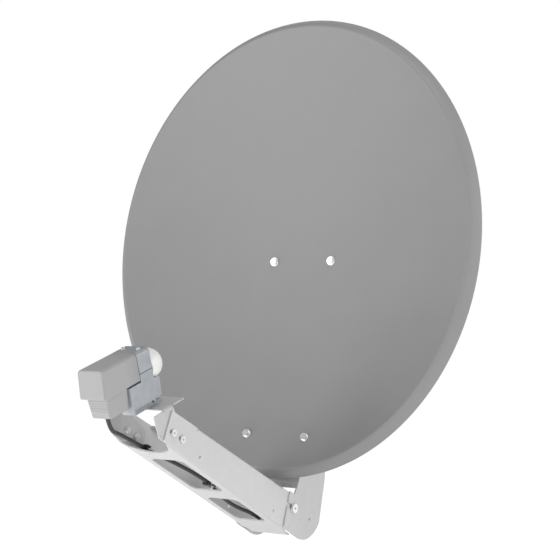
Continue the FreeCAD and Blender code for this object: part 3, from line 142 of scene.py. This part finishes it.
# %% Build the white room
ROOM_LIGHT = 0.29
world = bpy.data.worlds.new("white_room")
world.use_nodes = True
room = world.node_tree
lighting = room.nodes["Background"]
seen = room.nodes.new("ShaderNodeBackground")
for shader, strength in ((lighting, ROOM_LIGHT), (seen, 1.0)):
    shader.inputs["Color"].default_value = (1.0, 1.0, 1.0, 1.0)
    shader.inputs["Strength"].default_value = strength
ray = room.nodes.new("ShaderNodeLightPath")
either = room.nodes.new("ShaderNodeMixShader")
room.links.new(ray.outputs["Is Camera Ray"], either.inputs[0])
room.links.new(lighting.outputs[0], either.inputs[1])
room.links.new(seen.outputs[0], either.inputs[2])
room.links.new(either.outputs[0], room.nodes["World Output"].inputs["Surface"])
bpy.context.scene.world = world
bpy.context.scene.view_settings.view_transform = "Standard"

# %% [markdown]
# ## Finishes
# Nearly every surface here is one of a few kinds: powder coat with its faint orange peel, zinc plate
# with cloudy crystals, blasted die casting, moulded plastic, and rubber. One recipe serves them all: a
# base colour that drifts a little, a roughness that drifts with it, and a fine relief at the real scale.

# %% Write the shared finish recipe
def finish(name, colour, rough, metal=0.0, drift=0.05, drift_size=90.0, grain=900.0, relief=0.04, coat=0.0,
           rough_drift=0.06):
    """A surface whose colour and gloss drift over centimetres and whose relief is a fine grain."""
    paint = bpy.data.materials.new(name)
    paint.use_nodes = True
    tree = paint.node_tree
    shader = tree.nodes["Principled BSDF"]
    shader.inputs["Metallic"].default_value = metal
    shader.inputs["Coat Weight"].default_value = coat
    place = tree.nodes.new("ShaderNodeTexCoord")
    clouds = tree.nodes.new("ShaderNodeTexNoise")
    clouds.inputs["Scale"].default_value = drift_size
    clouds.inputs["Detail"].default_value = 3.0
    tree.links.new(place.outputs["Object"], clouds.inputs["Vector"])
    ramp = tree.nodes.new("ShaderNodeValToRGB")
    ramp.color_ramp.elements[0].position = 0.3
    ramp.color_ramp.elements[1].position = 0.7
    ramp.color_ramp.elements[0].color = (*[c * (1 - drift) for c in colour], 1)
    ramp.color_ramp.elements[1].color = (*[min(1.0, c * (1 + drift)) for c in colour], 1)
    tree.links.new(clouds.outputs["Fac"], ramp.inputs["Fac"])
    tree.links.new(ramp.outputs["Color"], shader.inputs["Base Color"])
    gloss = tree.nodes.new("ShaderNodeMapRange")
    gloss.inputs["To Min"].default_value = rough - rough_drift
    gloss.inputs["To Max"].default_value = rough + rough_drift
    tree.links.new(clouds.outputs["Fac"], gloss.inputs["Value"])
    tree.links.new(gloss.outputs["Result"], shader.inputs["Roughness"])
    peel = tree.nodes.new("ShaderNodeTexNoise")
    peel.inputs["Scale"].default_value = grain
    peel.inputs["Detail"].default_value = 2.0
    tree.links.new(place.outputs["Object"], peel.inputs["Vector"])
    bump = tree.nodes.new("ShaderNodeBump")
    bump.inputs["Strength"].default_value = relief
    bump.inputs["Distance"].default_value = 0.0004
    tree.links.new(peel.outputs["Fac"], bump.inputs["Height"])
    tree.links.new(bump.outputs["Normal"], shader.inputs["Normal"])
    return paint


reflector_paint = finish("satin grey powder coat", (0.28, 0.28, 0.285), 0.6, metal=0.1, drift=0.02, drift_size=14,
                         grain=1400, relief=0.06)
frame_paint = finish("frame powder coat", (0.54, 0.54, 0.545), 0.45, metal=0.1, drift=0.03, grain=1200, relief=0.1)
arm_paint = finish("arm powder coat", (0.60, 0.60, 0.60), 0.45, metal=0.1, drift=0.02, grain=1200, relief=0.1)
galvanised = finish("galvanised sheet", (0.55, 0.56, 0.57), 0.48, metal=0.85, drift=0.12, drift_size=160,
                    grain=500, relief=0.08, rough_drift=0.12)
zinc = finish("zinc plate", (0.86, 0.86, 0.84), 0.34, metal=0.7, drift=0.06, drift_size=300, grain=1500, relief=0.05)
nickel = finish("nickel plate", (0.72, 0.70, 0.66), 0.2, metal=1.0, drift=0.03, relief=0.02)
die_cast = finish("blasted die casting", (0.42, 0.445, 0.47), 0.5, metal=0.6, drift=0.06, grain=2200, relief=0.25)
hood_plastic = finish("hood moulding", (0.38, 0.38, 0.385), 0.5, drift=0.015, grain=2600, relief=0.12)
cap_plastic = finish("white cap moulding", (0.84, 0.84, 0.83), 0.38, drift=0.01, grain=1600, relief=0.03)
black_plastic = finish("black moulding", (0.025, 0.025, 0.026), 0.45, drift=0.1, grain=2000, relief=0.1)
rubber = finish("rubber", (0.02, 0.02, 0.02), 0.75, drift=0.1, grain=2500, relief=0.2)
jacket = finish("lead jacket", (0.035, 0.036, 0.04), 0.42, drift=0.08, grain=1800, relief=0.05)
board_green = finish("solder mask", (0.03, 0.14, 0.06), 0.35, drift=0.08, relief=0.05)
gold = finish("gold flash", (0.80, 0.60, 0.28), 0.25, metal=1.0, relief=0.02)
print("finishes:", len(bpy.data.materials))

# %% [markdown]
# ## Small hardware keeps its engineering mesh
# Bolts, nuts, washers and castings are already the right shape. They only look machine-cut, so their
# split corners are welded, a tiny bevel catches the light on each edge, and the normals are weighted.

# %% Soften and paint the engineering pieces
def ease_edges(piece, width, angle=35):
    """Small bevel in mm on every edge sharper than the angle, with the normals weighted to the big faces."""
    bevel = piece.modifiers.new("edges", "BEVEL")
    bevel.width = width * MM
    bevel.segments = 2
    bevel.limit_method = "ANGLE"
    bevel.angle_limit = math.radians(angle)
    bevel.use_clamp_overlap = True
    piece.modifiers.new("normals", "WEIGHTED_NORMAL").keep_sharp = False


def soften(node, width, paint):
    piece = nodes[node]
    for face in piece.data.polygons:
        face.use_smooth = True
    piece.modifiers.new("weld", "WELD").merge_threshold = 0.002 * MM
    ease_edges(piece, width)
    piece.data.materials.clear()
    piece.data.materials.append(paint)


HARDWARE = {
    zinc: ["reflector_bolts", "reflector_nuts", "frame_tie_tube", "frame_tie_bolt", "frame_tie_nut",
           "elevation_pivot_bolt", "elevation_pivot_nut", "elevation_lock_bolt", "elevation_lock_nut",
           "bracket_spacer_tubes", "elevation_washers", "clamp_bolts", "clamp_washers", "clamp_nuts",
           "arm_pivot_screws", "arm_pivot_nuts", "cable_clip_screws", "feed_bracket_screws",
           "feed_bracket_nuts", "foot_screws", "shell_screws"],
    galvanised: ["mast_bracket", "upper_clamp_jaw", "lower_clamp_jaw", "coupler_bracket"],
    frame_paint: ["rear_frame"],
    nickel: ["arm_f_plug", "coax_coupler", "coupler_nut", "f_sockets", "lnb_f_plug"],
    die_cast: ["lnb_lower_shell", "lnb_upper_shell", "feed_horn"],
    black_plastic: ["reflector_spacers", "cable_clips"],
    rubber: ["shell_gasket", "cap_seal", "socket_cap"],
    board_green: ["circuit_board"],
    gold: ["waveguide_probes"],
}
for paint, names in HARDWARE.items():
    for node in names:
        soften(node, 0.3, paint)
print("softened", sum(len(names) for names in HARDWARE.values()), "engineering pieces")

# %% [markdown]
# ## Making pieces from their own outline
# Two tools make the rest. The first carries a ring of points through space and skins it, for the bowl's
# skirt, the domed cap and the moulded covers. The second cuts a flat blank with its windows and holes,
# as a punch press does, with extra cuts where it will bend, so that a fold has its real radius.

# %% Write the skinning helpers
def make_piece(name, mesh, paint, body, replaced):
    piece = bpy.data.objects.new(name, mesh)
    bpy.context.scene.collection.objects.link(piece)
    for face in mesh.polygons:
        face.use_smooth = True
    mesh.materials.clear()
    mesh.materials.append(paint)
    if body:
        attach(piece, body)
    if replaced:
        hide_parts(*replaced)
    return piece


def skin_rings(name, rings, place, caps=()):
    """Mesh through rings of points; each ring closes on itself. Rings named in caps get a face across."""
    count = len(rings[0])
    points = [place @ Vector(p) for ring in rings for p in ring]
    faces = []
    for low in range(0, (len(rings) - 1) * count, count):
        for step in range(count):
            after = (step + 1) % count
            faces.append((low + step, low + after, low + count + after, low + count + step))
    mesh = bpy.data.meshes.new(name)
    mesh.from_pydata(points, [], faces)
    build = bmesh.new()
    build.from_mesh(mesh)
    build.verts.ensure_lookup_table()
    for ring in caps:
        first = (ring % len(rings)) * count
        build.faces.new([build.verts[first + step] for step in range(count)])
    bmesh.ops.recalc_face_normals(build, faces=build.faces)
    build.to_mesh(mesh)
    build.free()
    return mesh


print("skinning helpers ready")

# %% Write the cutting and folding helpers
def circle(u, v, radius, count=20):
    return [(u + radius * math.cos(2 * math.pi * i / count), v + radius * math.sin(2 * math.pi * i / count))
            for i in range(count)]


def long_hole(u, v, reach, radius):
    """Slot along v, with round ends."""
    ends = []
    for side in (1, -1):
        for step in range(9):
            turn = math.pi * step / 8 if side > 0 else math.pi + math.pi * step / 8
            ends.append((u + radius * math.cos(turn), v + side * reach + radius * math.sin(turn)))
    return ends


def cut_blank(outline, openings, creases):
    """Flat blank as points and triangles, with an edge along every crease."""
    points = []
    loops = []
    for path in [outline] + openings:
        loops.append(list(range(len(points), len(points) + len(path))))
        points += [Vector(p) for p in path]
    lines = []
    for first, last in creases:
        lines.append((len(points), len(points) + 1))
        points += [Vector(first), Vector(last)]
    flat, _, faces, _, _, owners = delaunay_2d_cdt(points, lines, loops, 0, 1e-5)
    kept = [face for face, owner in zip(faces, owners) if list(owner) == [0]]
    return flat, kept


def fold_sheet(name, blank, fold, place):
    """Fold a blank point by point; the fold says where each of its points goes."""
    flat, faces = blank
    used = sorted({i for face in faces for i in face})
    index = {old: new for new, old in enumerate(used)}
    mesh = bpy.data.meshes.new(name)
    mesh.from_pydata([place @ (Vector(fold(*flat[i])) * MM) for i in used], [],
                     [[index[i] for i in face] for face in faces])
    mesh.update()
    return mesh


def thicken(piece, thick):
    skin = piece.modifiers.new("sheet", "SOLIDIFY")
    skin.thickness = thick * MM
    skin.offset = 0.0
    skin.use_even_offset = True
    ease_edges(piece, 0.35, 50)


print("folding helpers ready")

# %% [markdown]
# ## The reflector
# The bowl is a slice of a paraboloid: the beam is a cylinder of 750 mm, and where it meets the
# paraboloid it leaves an oval rim. The pressed edge is turned back into a flared skirt with a rolled
# lip, which keeps a thin sheet stiff. Both are skinned from the curve itself, ring by ring.

# %% Work out the paraboloid and its rim
OFFSET = math.radians(27.5)
HALF_WIDE = 375.0
HALF_HIGH = HALF_WIDE / math.cos(OFFSET)
AXIS_TO_CENTRE = HALF_WIDE + 25.0
FOCAL = AXIS_TO_CENTRE / (2 * math.tan(OFFSET))
RIM_W = (AXIS_TO_CENTRE ** 2 + HALF_WIDE ** 2) / (4 * FOCAL)


def bowl_depth(x, z, behind=0.0):
    """Depth of the reflecting face behind the rim plane, or of that face moved back along the beam."""
    across = AXIS_TO_CENTRE + z * math.cos(OFFSET)
    along = RIM_W + z * math.sin(OFFSET) + behind
    a = math.sin(OFFSET) ** 2
    b = 2 * across * math.sin(OFFSET) + 4 * FOCAL * math.cos(OFFSET)
    c = across ** 2 + x ** 2 - 4 * FOCAL * along
    return (-b + math.sqrt(b * b - 4 * a * c)) / (2 * a)


def oval(scale, extra, depth, count=192):
    """Ring round the rim: shrunk by scale, grown by extra, at a depth given as a number or a function."""
    ring = []
    for step in range(count):
        turn = 2 * math.pi * step / count
        x = (HALF_WIDE * scale + extra) * math.sin(turn)
        z = (HALF_HIGH * scale + extra) * math.cos(turn)
        y = depth(x, z) if callable(depth) else depth
        ring.append((x * MM, y * MM, z * MM))
    return ring


print("focal length %.0f mm, bowl %.0f mm deep in the middle" % (FOCAL, bowl_depth(0, 0)))

# %% Skin the bowl and its skirt
SHEET = 1.6
rings = []
for step in range(1, 41):
    rings.append(oval(step / 40 * 0.997, 0, bowl_depth))
rim_profile = [(0.2, -0.1), (1.6, 0.1), (3.2, 0.6), (4.9, 1.6), (7.5, 4.0), (11.2, 8.3), (14.6, 12.8), (16.6, 15.6),
               (17.9, 17.2), (18.15, 18.4), (17.6, 19.6), (16.4, 19.9), (15.6, 19.2), (15.4, 17.8), (14.4, 15.4),
               (11.8, 12.0), (8.6, 7.8), (5.6, 4.6), (3.2, 2.9), (0.4, 2.2)]
for extra, depth in rim_profile:
    rings.append(oval(1, extra, depth))


def bowl_back(x, z):
    return bowl_depth(x, z, SHEET)


for step in range(40, 0, -1):
    rings.append(oval(step / 40 * 0.997, 0, bowl_back))
bowl = skin_rings("reflector_bowl", rings, DISH, caps=(0, -1))
make_piece("reflector_bowl", bowl, reflector_paint, "dish", ["reflector"])
print("reflector faces:", len(bowl.polygons))

# %% [markdown]
# ## The feed arm, folded from sheet
# The arm is a channel of 2.5 mm sheet: a floor with two big windows, a wall on each side with small
# holes and slots, and a turned-in lip along each top edge. A box with holes cut in it would show knife
# edges. Folding a flat blank gives every bend a true radius, so the light runs along it as on the real one.

# %% Lay out the arm's blank and fold it
ARM_SHEET = 2.5
SHEET_MID = ARM_SHEET / 2
ARM_HALF = 48.7 - SHEET_MID
BEND = 3.0
LIP_BEND = 2.5
FLOOR_EDGE = ARM_HALF - BEND
WALL_FOOT = FLOOR_EDGE + BEND * math.pi / 2
WALL_TOP_REAR = 392.5
LIP_FIRST, LIP_LAST = 78.0, 372.5


def wall_top(along):
    return 54.0 + 12.0 * (along + 1.8) / (WALL_TOP_REAR + 1.8)


def up_wall(above):
    """Width coordinate on the blank of a place at this height on the wall."""
    return WALL_FOOT + above - SHEET_MID - BEND


def lip_root(along):
    return up_wall(wall_top(along) - SHEET_MID - LIP_BEND)


def fold_arm(u, along):
    side = -1 if u < 0 else 1
    u = abs(u)
    if u < FLOOR_EDGE:
        return side * u, along, SHEET_MID
    if u < WALL_FOOT:
        turn = (u - FLOOR_EDGE) / BEND
        return side * (FLOOR_EDGE + BEND * math.sin(turn)), along, SHEET_MID + BEND * (1 - math.cos(turn))
    root = lip_root(along)
    if u < root or not LIP_FIRST - 0.3 < along < LIP_LAST + 0.3:
        return side * ARM_HALF, along, SHEET_MID + BEND + u - WALL_FOOT
    turn = min((u - root) / LIP_BEND, math.pi / 2)
    over = max(0.0, u - root - LIP_BEND * math.pi / 2)
    return (side * (ARM_HALF - LIP_BEND * (1 - math.cos(turn)) - over), along,
            wall_top(along) - SHEET_MID - LIP_BEND * (1 - math.sin(turn)))


EAR = (423.3, 43.4)
edge = []
for step in range(13):
    x = FLOOR_EDGE * step / 12
    edge.append((x, 3.59 + math.sqrt(46.41 ** 2 - x ** 2)))
edge += [(46.4, 8.6), (47.6, 3.0), (WALL_FOOT, -0.1), (up_wall(54.0), -1.8), (up_wall(wall_top(76.4)), 76.4),
         (lip_root(77) - 1.0, 76.6), (lip_root(77) - 1.0, LIP_FIRST), (lip_root(78) + 9.7, LIP_FIRST),
         (lip_root(80) + 11.7, LIP_FIRST + 2.5), (lip_root(370) + 11.7, LIP_LAST - 2.5),
         (lip_root(372) + 9.7, LIP_LAST), (lip_root(373) - 1.0, LIP_LAST), (lip_root(373) - 1.0, 373.9),
         (up_wall(wall_top(374.1)), 374.1), (up_wall(66.0), WALL_TOP_REAR)]
for degrees in range(12, 131, 10):
    turn = math.radians(degrees)
    edge.append((up_wall(EAR[1] + 20 * math.cos(turn)), EAR[0] + 20 * math.sin(turn)))
edge += [(up_wall(30.0), 438.9), (up_wall(4.6), 449.8), (WALL_FOOT, 449.4), (WALL_FOOT, 413.5), (46.6, 416.5),
         (FLOOR_EDGE, 421.9), (39.7, 432.5), (39.7, 451.0)]
outline = edge + [(-u, along) for u, along in reversed(edge[1:])]
openings = []
for first, last in ((80, 224), (264, 379)):
    openings.append([(-32, first + 8), (-29.5, first + 5.2), (-24.5, first + 1.2), (-22, first), (22, first),
                     (24.5, first + 1.2), (29.5, first + 5.2), (32, first + 8), (32, last - 12), (30.6, last - 8.8),
                     (25.8, last - 1.6), (24, last), (-24, last), (-25.8, last - 1.6), (-30.6, last - 8.8),
                     (-32, last - 12)])
for side in (-1, 1):
    openings += [circle(side * up_wall(17.0), 103.5, 2.6), circle(side * up_wall(17.0), 363.3, 2.6),
                 circle(side * up_wall(EAR[1]), EAR[0], 4.0), long_hole(side * up_wall(23.3), 16, 5, 3.4),
                 long_hole(side * up_wall(23.3), 43, 5, 3.4)]
creases = []
for side in (-1, 1):
    for step in range(6):
        u = side * (FLOOR_EDGE + (WALL_FOOT - FLOOR_EDGE) * step / 5)
        creases.append(((u, -20), (u, 470)))
        bend = LIP_BEND * math.pi / 2 * step / 5
        creases.append(((side * (lip_root(77.5) + bend), 77.5), (side * (lip_root(373) + bend), 373)))
arm_sheet = fold_sheet("feed_arm_channel", cut_blank(outline, openings, creases), fold_arm, ARM)
arm = make_piece("feed_arm_channel", arm_sheet, arm_paint, "arm", ["arm_channel"])
thicken(arm, ARM_SHEET)
print("arm blank triangles:", len(arm_sheet.polygons))

# %% [markdown]
# ## The feed bracket
# A second sheet piece stands between the arm's walls and carries the converter on a sloping table. Its
# cheeks are folded down from the table, with a wide bend that is easy to see. The cheeks' outline is
# known in the arm's frame, so it is turned into the table's frame before the blank is cut.

# %% Cut and fold the feed bracket
def arm_to_feed(along, above):
    point = FEED.inverted() @ ARM @ Vector((0, along * MM, above * MM))
    return point.y / MM, point.z / MM


CHEEK_MID = 45.0
TABLE_MID = -65.0
WIDE_BEND = 5.0
TABLE_EDGE = CHEEK_MID - WIDE_BEND
CHEEK_TOP = TABLE_EDGE + WIDE_BEND * math.pi / 2


def down_cheek(drop):
    """Width coordinate on the blank of a height in the feed frame."""
    return CHEEK_TOP + TABLE_MID - WIDE_BEND - drop


def fold_bracket(u, along):
    """The bend runs only where table and cheek meet; ahead of it and behind it each stays flat."""
    side = -1 if u < 0 else 1
    u = abs(u)
    on_cheek = u >= CHEEK_TOP or (along < -69.4 and u > TABLE_EDGE)
    if on_cheek:
        return side * CHEEK_MID, along, TABLE_MID - WIDE_BEND - (u - CHEEK_TOP)
    if u < TABLE_EDGE or along > -44.5:
        return side * u, along, TABLE_MID
    turn = (u - TABLE_EDGE) / WIDE_BEND
    return side * (TABLE_EDGE + WIDE_BEND * math.sin(turn)), along, TABLE_MID - WIDE_BEND * (1 - math.cos(turn))


cheek = []
for along, above in ((-37.6, 27), (-10, 3), (68, 3), (68, 34), (64, 42), (17, 50)):
    t, v = arm_to_feed(along, above)
    cheek.append((down_cheek(v), t))
edge = [(0, -69), (TABLE_EDGE, -69), (CHEEK_TOP, -69), (CHEEK_TOP, -69.6), (down_cheek(-65.5), -71.5)] + cheek
edge += [(CHEEK_TOP + 1.5, -43.5), (CHEEK_TOP, -45), (TABLE_EDGE + 0.2, -45), (TABLE_EDGE + 0.2, -43.6),
         (44.0, -43.2), (46.0, -41.2), (46.0, -14.0), (44.0, -12.0)]
outline = edge + [(-u, along) for u, along in reversed(edge[1:])]
openings = [circle(side * 6.5, -42, 2.2, 12) for side in (-1, 1)]
for side in (-1, 1):
    for along, above, radius in ((16, 23.3, 3.0), (43, 23.3, 3.0), (-9, 8, 1.6)):
        t, v = arm_to_feed(along, above)
        openings.append(circle(side * down_cheek(v), t, radius, 16))
creases = []
for side in (-1, 1):
    for step in range(7):
        u = side * (TABLE_EDGE + (CHEEK_TOP - TABLE_EDGE) * step / 6)
        creases.append(((u, -75), (u, -45)))
bracket_sheet = fold_sheet("feed_table_bracket", cut_blank(outline, openings, creases), fold_bracket, FEED)
table = make_piece("feed_table_bracket", bracket_sheet, frame_paint, "feed", ["feed_bracket"])
thicken(table, 2.0)
print("bracket blank triangles:", len(bracket_sheet.polygons))

# %% [markdown]
# ## The moulded covers and the cap
# The upper hood, the ribbed grip under it and the white cap are injection mouldings, so their corners
# are round and their walls lean a little to leave the mould. Each is a stack of rings: the rings shrink
# towards the front face for the hood, along the height for the grip, and up the dome for the cap.

# %% Mould the upper hood
HOOD_REAR = -87.6


def hood_ring(inset, along, wall=0.0):
    """Front view of the hood with rounded corners; the front leans, and that fades out to the rear."""
    half = 24.6 - wall - inset
    low, high = -11.0 + wall + inset, 35.0 - wall - inset
    big, small = max(1.0, 7.0 - wall - inset * 0.5), max(0.6, 2.4 - wall)
    ring = []
    for x, z, radius, first in ((half, high, big, 0), (-half, high, big, 90), (-half, low, small, 180),
                                (half, low, small, 270)):
        for step in range(9):
            turn = math.radians(first + 90 * step / 8)
            cx = x - math.copysign(radius, x)
            cz = z - math.copysign(radius, z - 12)
            ring.append((cx + radius * math.cos(turn), along, cz + radius * math.sin(turn)))
    leaned = []
    for x, t, z in ring:
        share = (HOOD_REAR - t) / (HOOD_REAR + 175.0)
        lean = -3.4 + (z + 11.0) / 46.0 * 5.6
        leaned.append((x * MM, (t + lean * share) * MM, z * MM))
    return leaned


rings = [hood_ring(14.0, -175.35), hood_ring(8.0, -175.2)]
for step in range(7):
    turn = math.radians(90 * step / 6)
    rings.append(hood_ring(3.2 * (1 - math.sin(turn)), -175.0 + 3.2 * (1 - math.cos(turn))))
rings += [hood_ring(0.0, -150.0), hood_ring(0.0, -120.0), hood_ring(0.0, HOOD_REAR - 0.4),
          hood_ring(0.4, HOOD_REAR), hood_ring(1.6, HOOD_REAR), hood_ring(1.6, -120.0), hood_ring(1.6, -150.0),
          hood_ring(1.6, -170.5), hood_ring(4.0, -173.2), hood_ring(14.0, -173.4)]
hood_mesh = skin_rings("upper_hood", rings, FEED, caps=(0, -1))
make_piece("upper_hood", hood_mesh, hood_plastic, "hood", ["weather_hood"])
print("hood points:", len(hood_mesh.vertices))

# %% Mould the ribbed grip under it
def grip_ring(above, proud=0.0):
    """Plan view of the grip, a bay open to the rear; it narrows downwards."""
    share = (-11.0 - above) / 34.0
    half = 21.6 - 3.1 * share
    front = -168.0 + 2.2 * share - proud
    outside, inside = [], []
    for wall, path in ((0.0, outside), (1.6, inside)):
        radius = 4.5 - wall
        path.append((half - wall, -119.5))
        for first, sign in ((0, 1), (-90, -1)):
            for step in range(9):
                turn = math.radians(first - 90 * step / 8)
                path.append((sign * (half - wall - radius) + radius * math.cos(turn),
                             front + wall + radius + radius * math.sin(turn)))
        path.append((-half + wall, -119.5))
    return [(x * MM, t * MM, above * MM) for x, t in outside + inside[::-1]]


levels = [(-11.0, 0.0)]
for rib in range(5):
    top = -14.5 - 4.2 * rib
    levels += [(top, 0.0), (top - 0.5, -0.7), (top - 1.4, -0.7), (top - 1.9, 0.0)]
levels += [(-42.0, 0.0), (-44.2, -0.6), (-45.0, -1.8)]
rings = [grip_ring(above, proud) for above, proud in levels]
grip_mesh = skin_rings("ribbed_grip", rings, FEED)
half_ring = len(rings[0]) // 2
build = bmesh.new()
build.from_mesh(grip_mesh)
build.verts.ensure_lookup_table()
for base in (0, (len(rings) - 1) * 2 * half_ring):
    for step in range(half_ring - 1):
        build.faces.new([build.verts[base + i] for i in (step, step + 1, 2 * half_ring - 2 - step,
                                                         2 * half_ring - 1 - step)])
bmesh.ops.recalc_face_normals(build, faces=build.faces)
build.to_mesh(grip_mesh)
build.free()
grip = make_piece("ribbed_grip", grip_mesh, hood_plastic, "hood", ["hood_grip_cover"])
ease_edges(grip, 0.25, 50)
print("grip points:", len(grip_mesh.vertices))

# %% Turn the domed cap
def cap_ring(radius, along):
    return [(radius * math.cos(2 * math.pi * i / 96) * MM, along * MM, radius * math.sin(2 * math.pi * i / 96) * MM)
            for i in range(96)]


DOME_FOOT = -36.0
steps = [math.radians(a) for a in (0, 6, 12, 18, 25, 32, 39, 46, 53, 60, 67, 74, 80, 85, 88.5)]
inside = [(24.5 * math.cos(a), DOME_FOOT + 24.5 * math.sin(a)) for a in reversed(steps)]
outside = [(26.0 * math.cos(a), DOME_FOOT + 26.0 * math.sin(a)) for a in steps]
cap_profile = inside + [(24.5, -52.9), (24.9, -53.4), (25.6, -53.4), (26.0, -52.9)] + outside
cap_mesh = skin_rings("domed_cap", [cap_ring(r, t) for r, t in cap_profile], FEED, caps=(0, -1))
make_piece("domed_cap", cap_mesh, cap_plastic, "feed", ["feed_cap"])
print("cap points:", len(cap_mesh.vertices))

# %% [markdown]
# ## The lead
# One dark coaxial lead leaves the plug under the converter, drops into the channel and wanders along
# its floor to the coupler. It is stiff stuff, so a smooth spline through a few control points is right:
# it has no corners, and the clips only guide it.

# %% Draw the lead as a tube on a smooth spline
def feed_to_arm(along, above):
    point = ARM.inverted() @ FEED @ Vector((0, along * MM, above * MM))
    return point / MM


LEAD_RADIUS = 3.4
LEAD_FLOOR = ARM_SHEET + LEAD_RADIUS + 1.8
COUPLER_UP = ARM_SHEET + 9.2
start = feed_to_arm(-140, -11.6 - 24) + Vector((-11, 0, 0))
out = (ARM.inverted() @ FEED).to_3x3() @ Vector((0, 0, -1))
lead_route = [start, start + out * 38, Vector((-19, -29, -1)), Vector((-28, 10, 5)),
              Vector((-29, 40, LEAD_FLOOR + 0.2)), Vector((-24, 72, LEAD_FLOOR)), Vector((-9, 110, LEAD_FLOOR + 0.6)),
              Vector((2, 149, LEAD_FLOOR + 0.2)), Vector((6, 188, LEAD_FLOOR + 0.5)), Vector((3, 222, LEAD_FLOOR)),
              Vector((-7, 266, LEAD_FLOOR + 0.2)), Vector((-13, 304, LEAD_FLOOR + 0.6)),
              Vector((-10, 340, LEAD_FLOOR + 1)), Vector((0, 374, COUPLER_UP)), Vector((0, 398, COUPLER_UP))]
curve = bpy.data.curves.new("lead_line", "CURVE")
curve.dimensions = "3D"
curve.bevel_depth = LEAD_RADIUS * MM
curve.bevel_resolution = 6
curve.resolution_u = 10
curve.use_fill_caps = True
spline = curve.splines.new("NURBS")
spline.points.add(len(lead_route) - 1)
for point, place in zip(spline.points, lead_route):
    point.co = (*(ARM @ (place * MM)), 1)
spline.use_endpoint_u = True
spline.order_u = 3
line = bpy.data.objects.new("lead_line", curve)
bpy.context.scene.collection.objects.link(line)
tube = bpy.data.meshes.new_from_object(line)
bpy.data.objects.remove(line)
lead = make_piece("lead_jacket", tube, jacket, None, ["coax_lead"])
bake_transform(lead)
print("lead vertices:", len(tube.vertices))

# %% [markdown]
# ## The floor
# The dish hangs on a mast, so the floor lies well below it, clear even of the folded arm. Pale and matt
# under the dish, it grows brighter with the distance from the middle, so that from anywhere it melts
# into the white room.

# %% Roll out the floor
FLOOR_Z = -0.95
floor_mesh = bpy.data.meshes.new("pale_floor")
floor_mesh.from_pydata([(-14, -14, 0), (14, -14, 0), (14, 14, 0), (-14, 14, 0)], [], [(0, 1, 2, 3)])
floor_paint = finish("pale floor paint", (0.93, 0.93, 0.93), 0.8, drift=0.0, relief=0.0)
floor_tree = floor_paint.node_tree
floor_skin = floor_tree.nodes["Principled BSDF"]
floor_skin.inputs["Emission Color"].default_value = (1.0, 1.0, 1.0, 1.0)
floor_place = floor_tree.nodes.new("ShaderNodeTexCoord")
from_middle = floor_tree.nodes.new("ShaderNodeVectorMath")
from_middle.operation = "LENGTH"
lit_by_distance = floor_tree.nodes.new("ShaderNodeMapRange")
for socket, value in (("From Min", 0.5), ("From Max", 1.25), ("To Min", 0.0), ("To Max", 0.75)):
    lit_by_distance.inputs[socket].default_value = value
floor_tree.links.new(floor_place.outputs["Object"], from_middle.inputs[0])
floor_tree.links.new(from_middle.outputs["Value"], lit_by_distance.inputs["Value"])
floor_tree.links.new(lit_by_distance.outputs["Result"], floor_skin.inputs["Emission Strength"])
floor_mesh.materials.append(floor_paint)
pale_floor = bpy.data.objects.new("pale_floor", floor_mesh)
pale_floor.location.z = FLOOR_Z
bpy.context.scene.collection.objects.link(pale_floor)
print("floor at", FLOOR_Z)

# %% Update the scene and close the frame
bpy.context.view_layer.update()
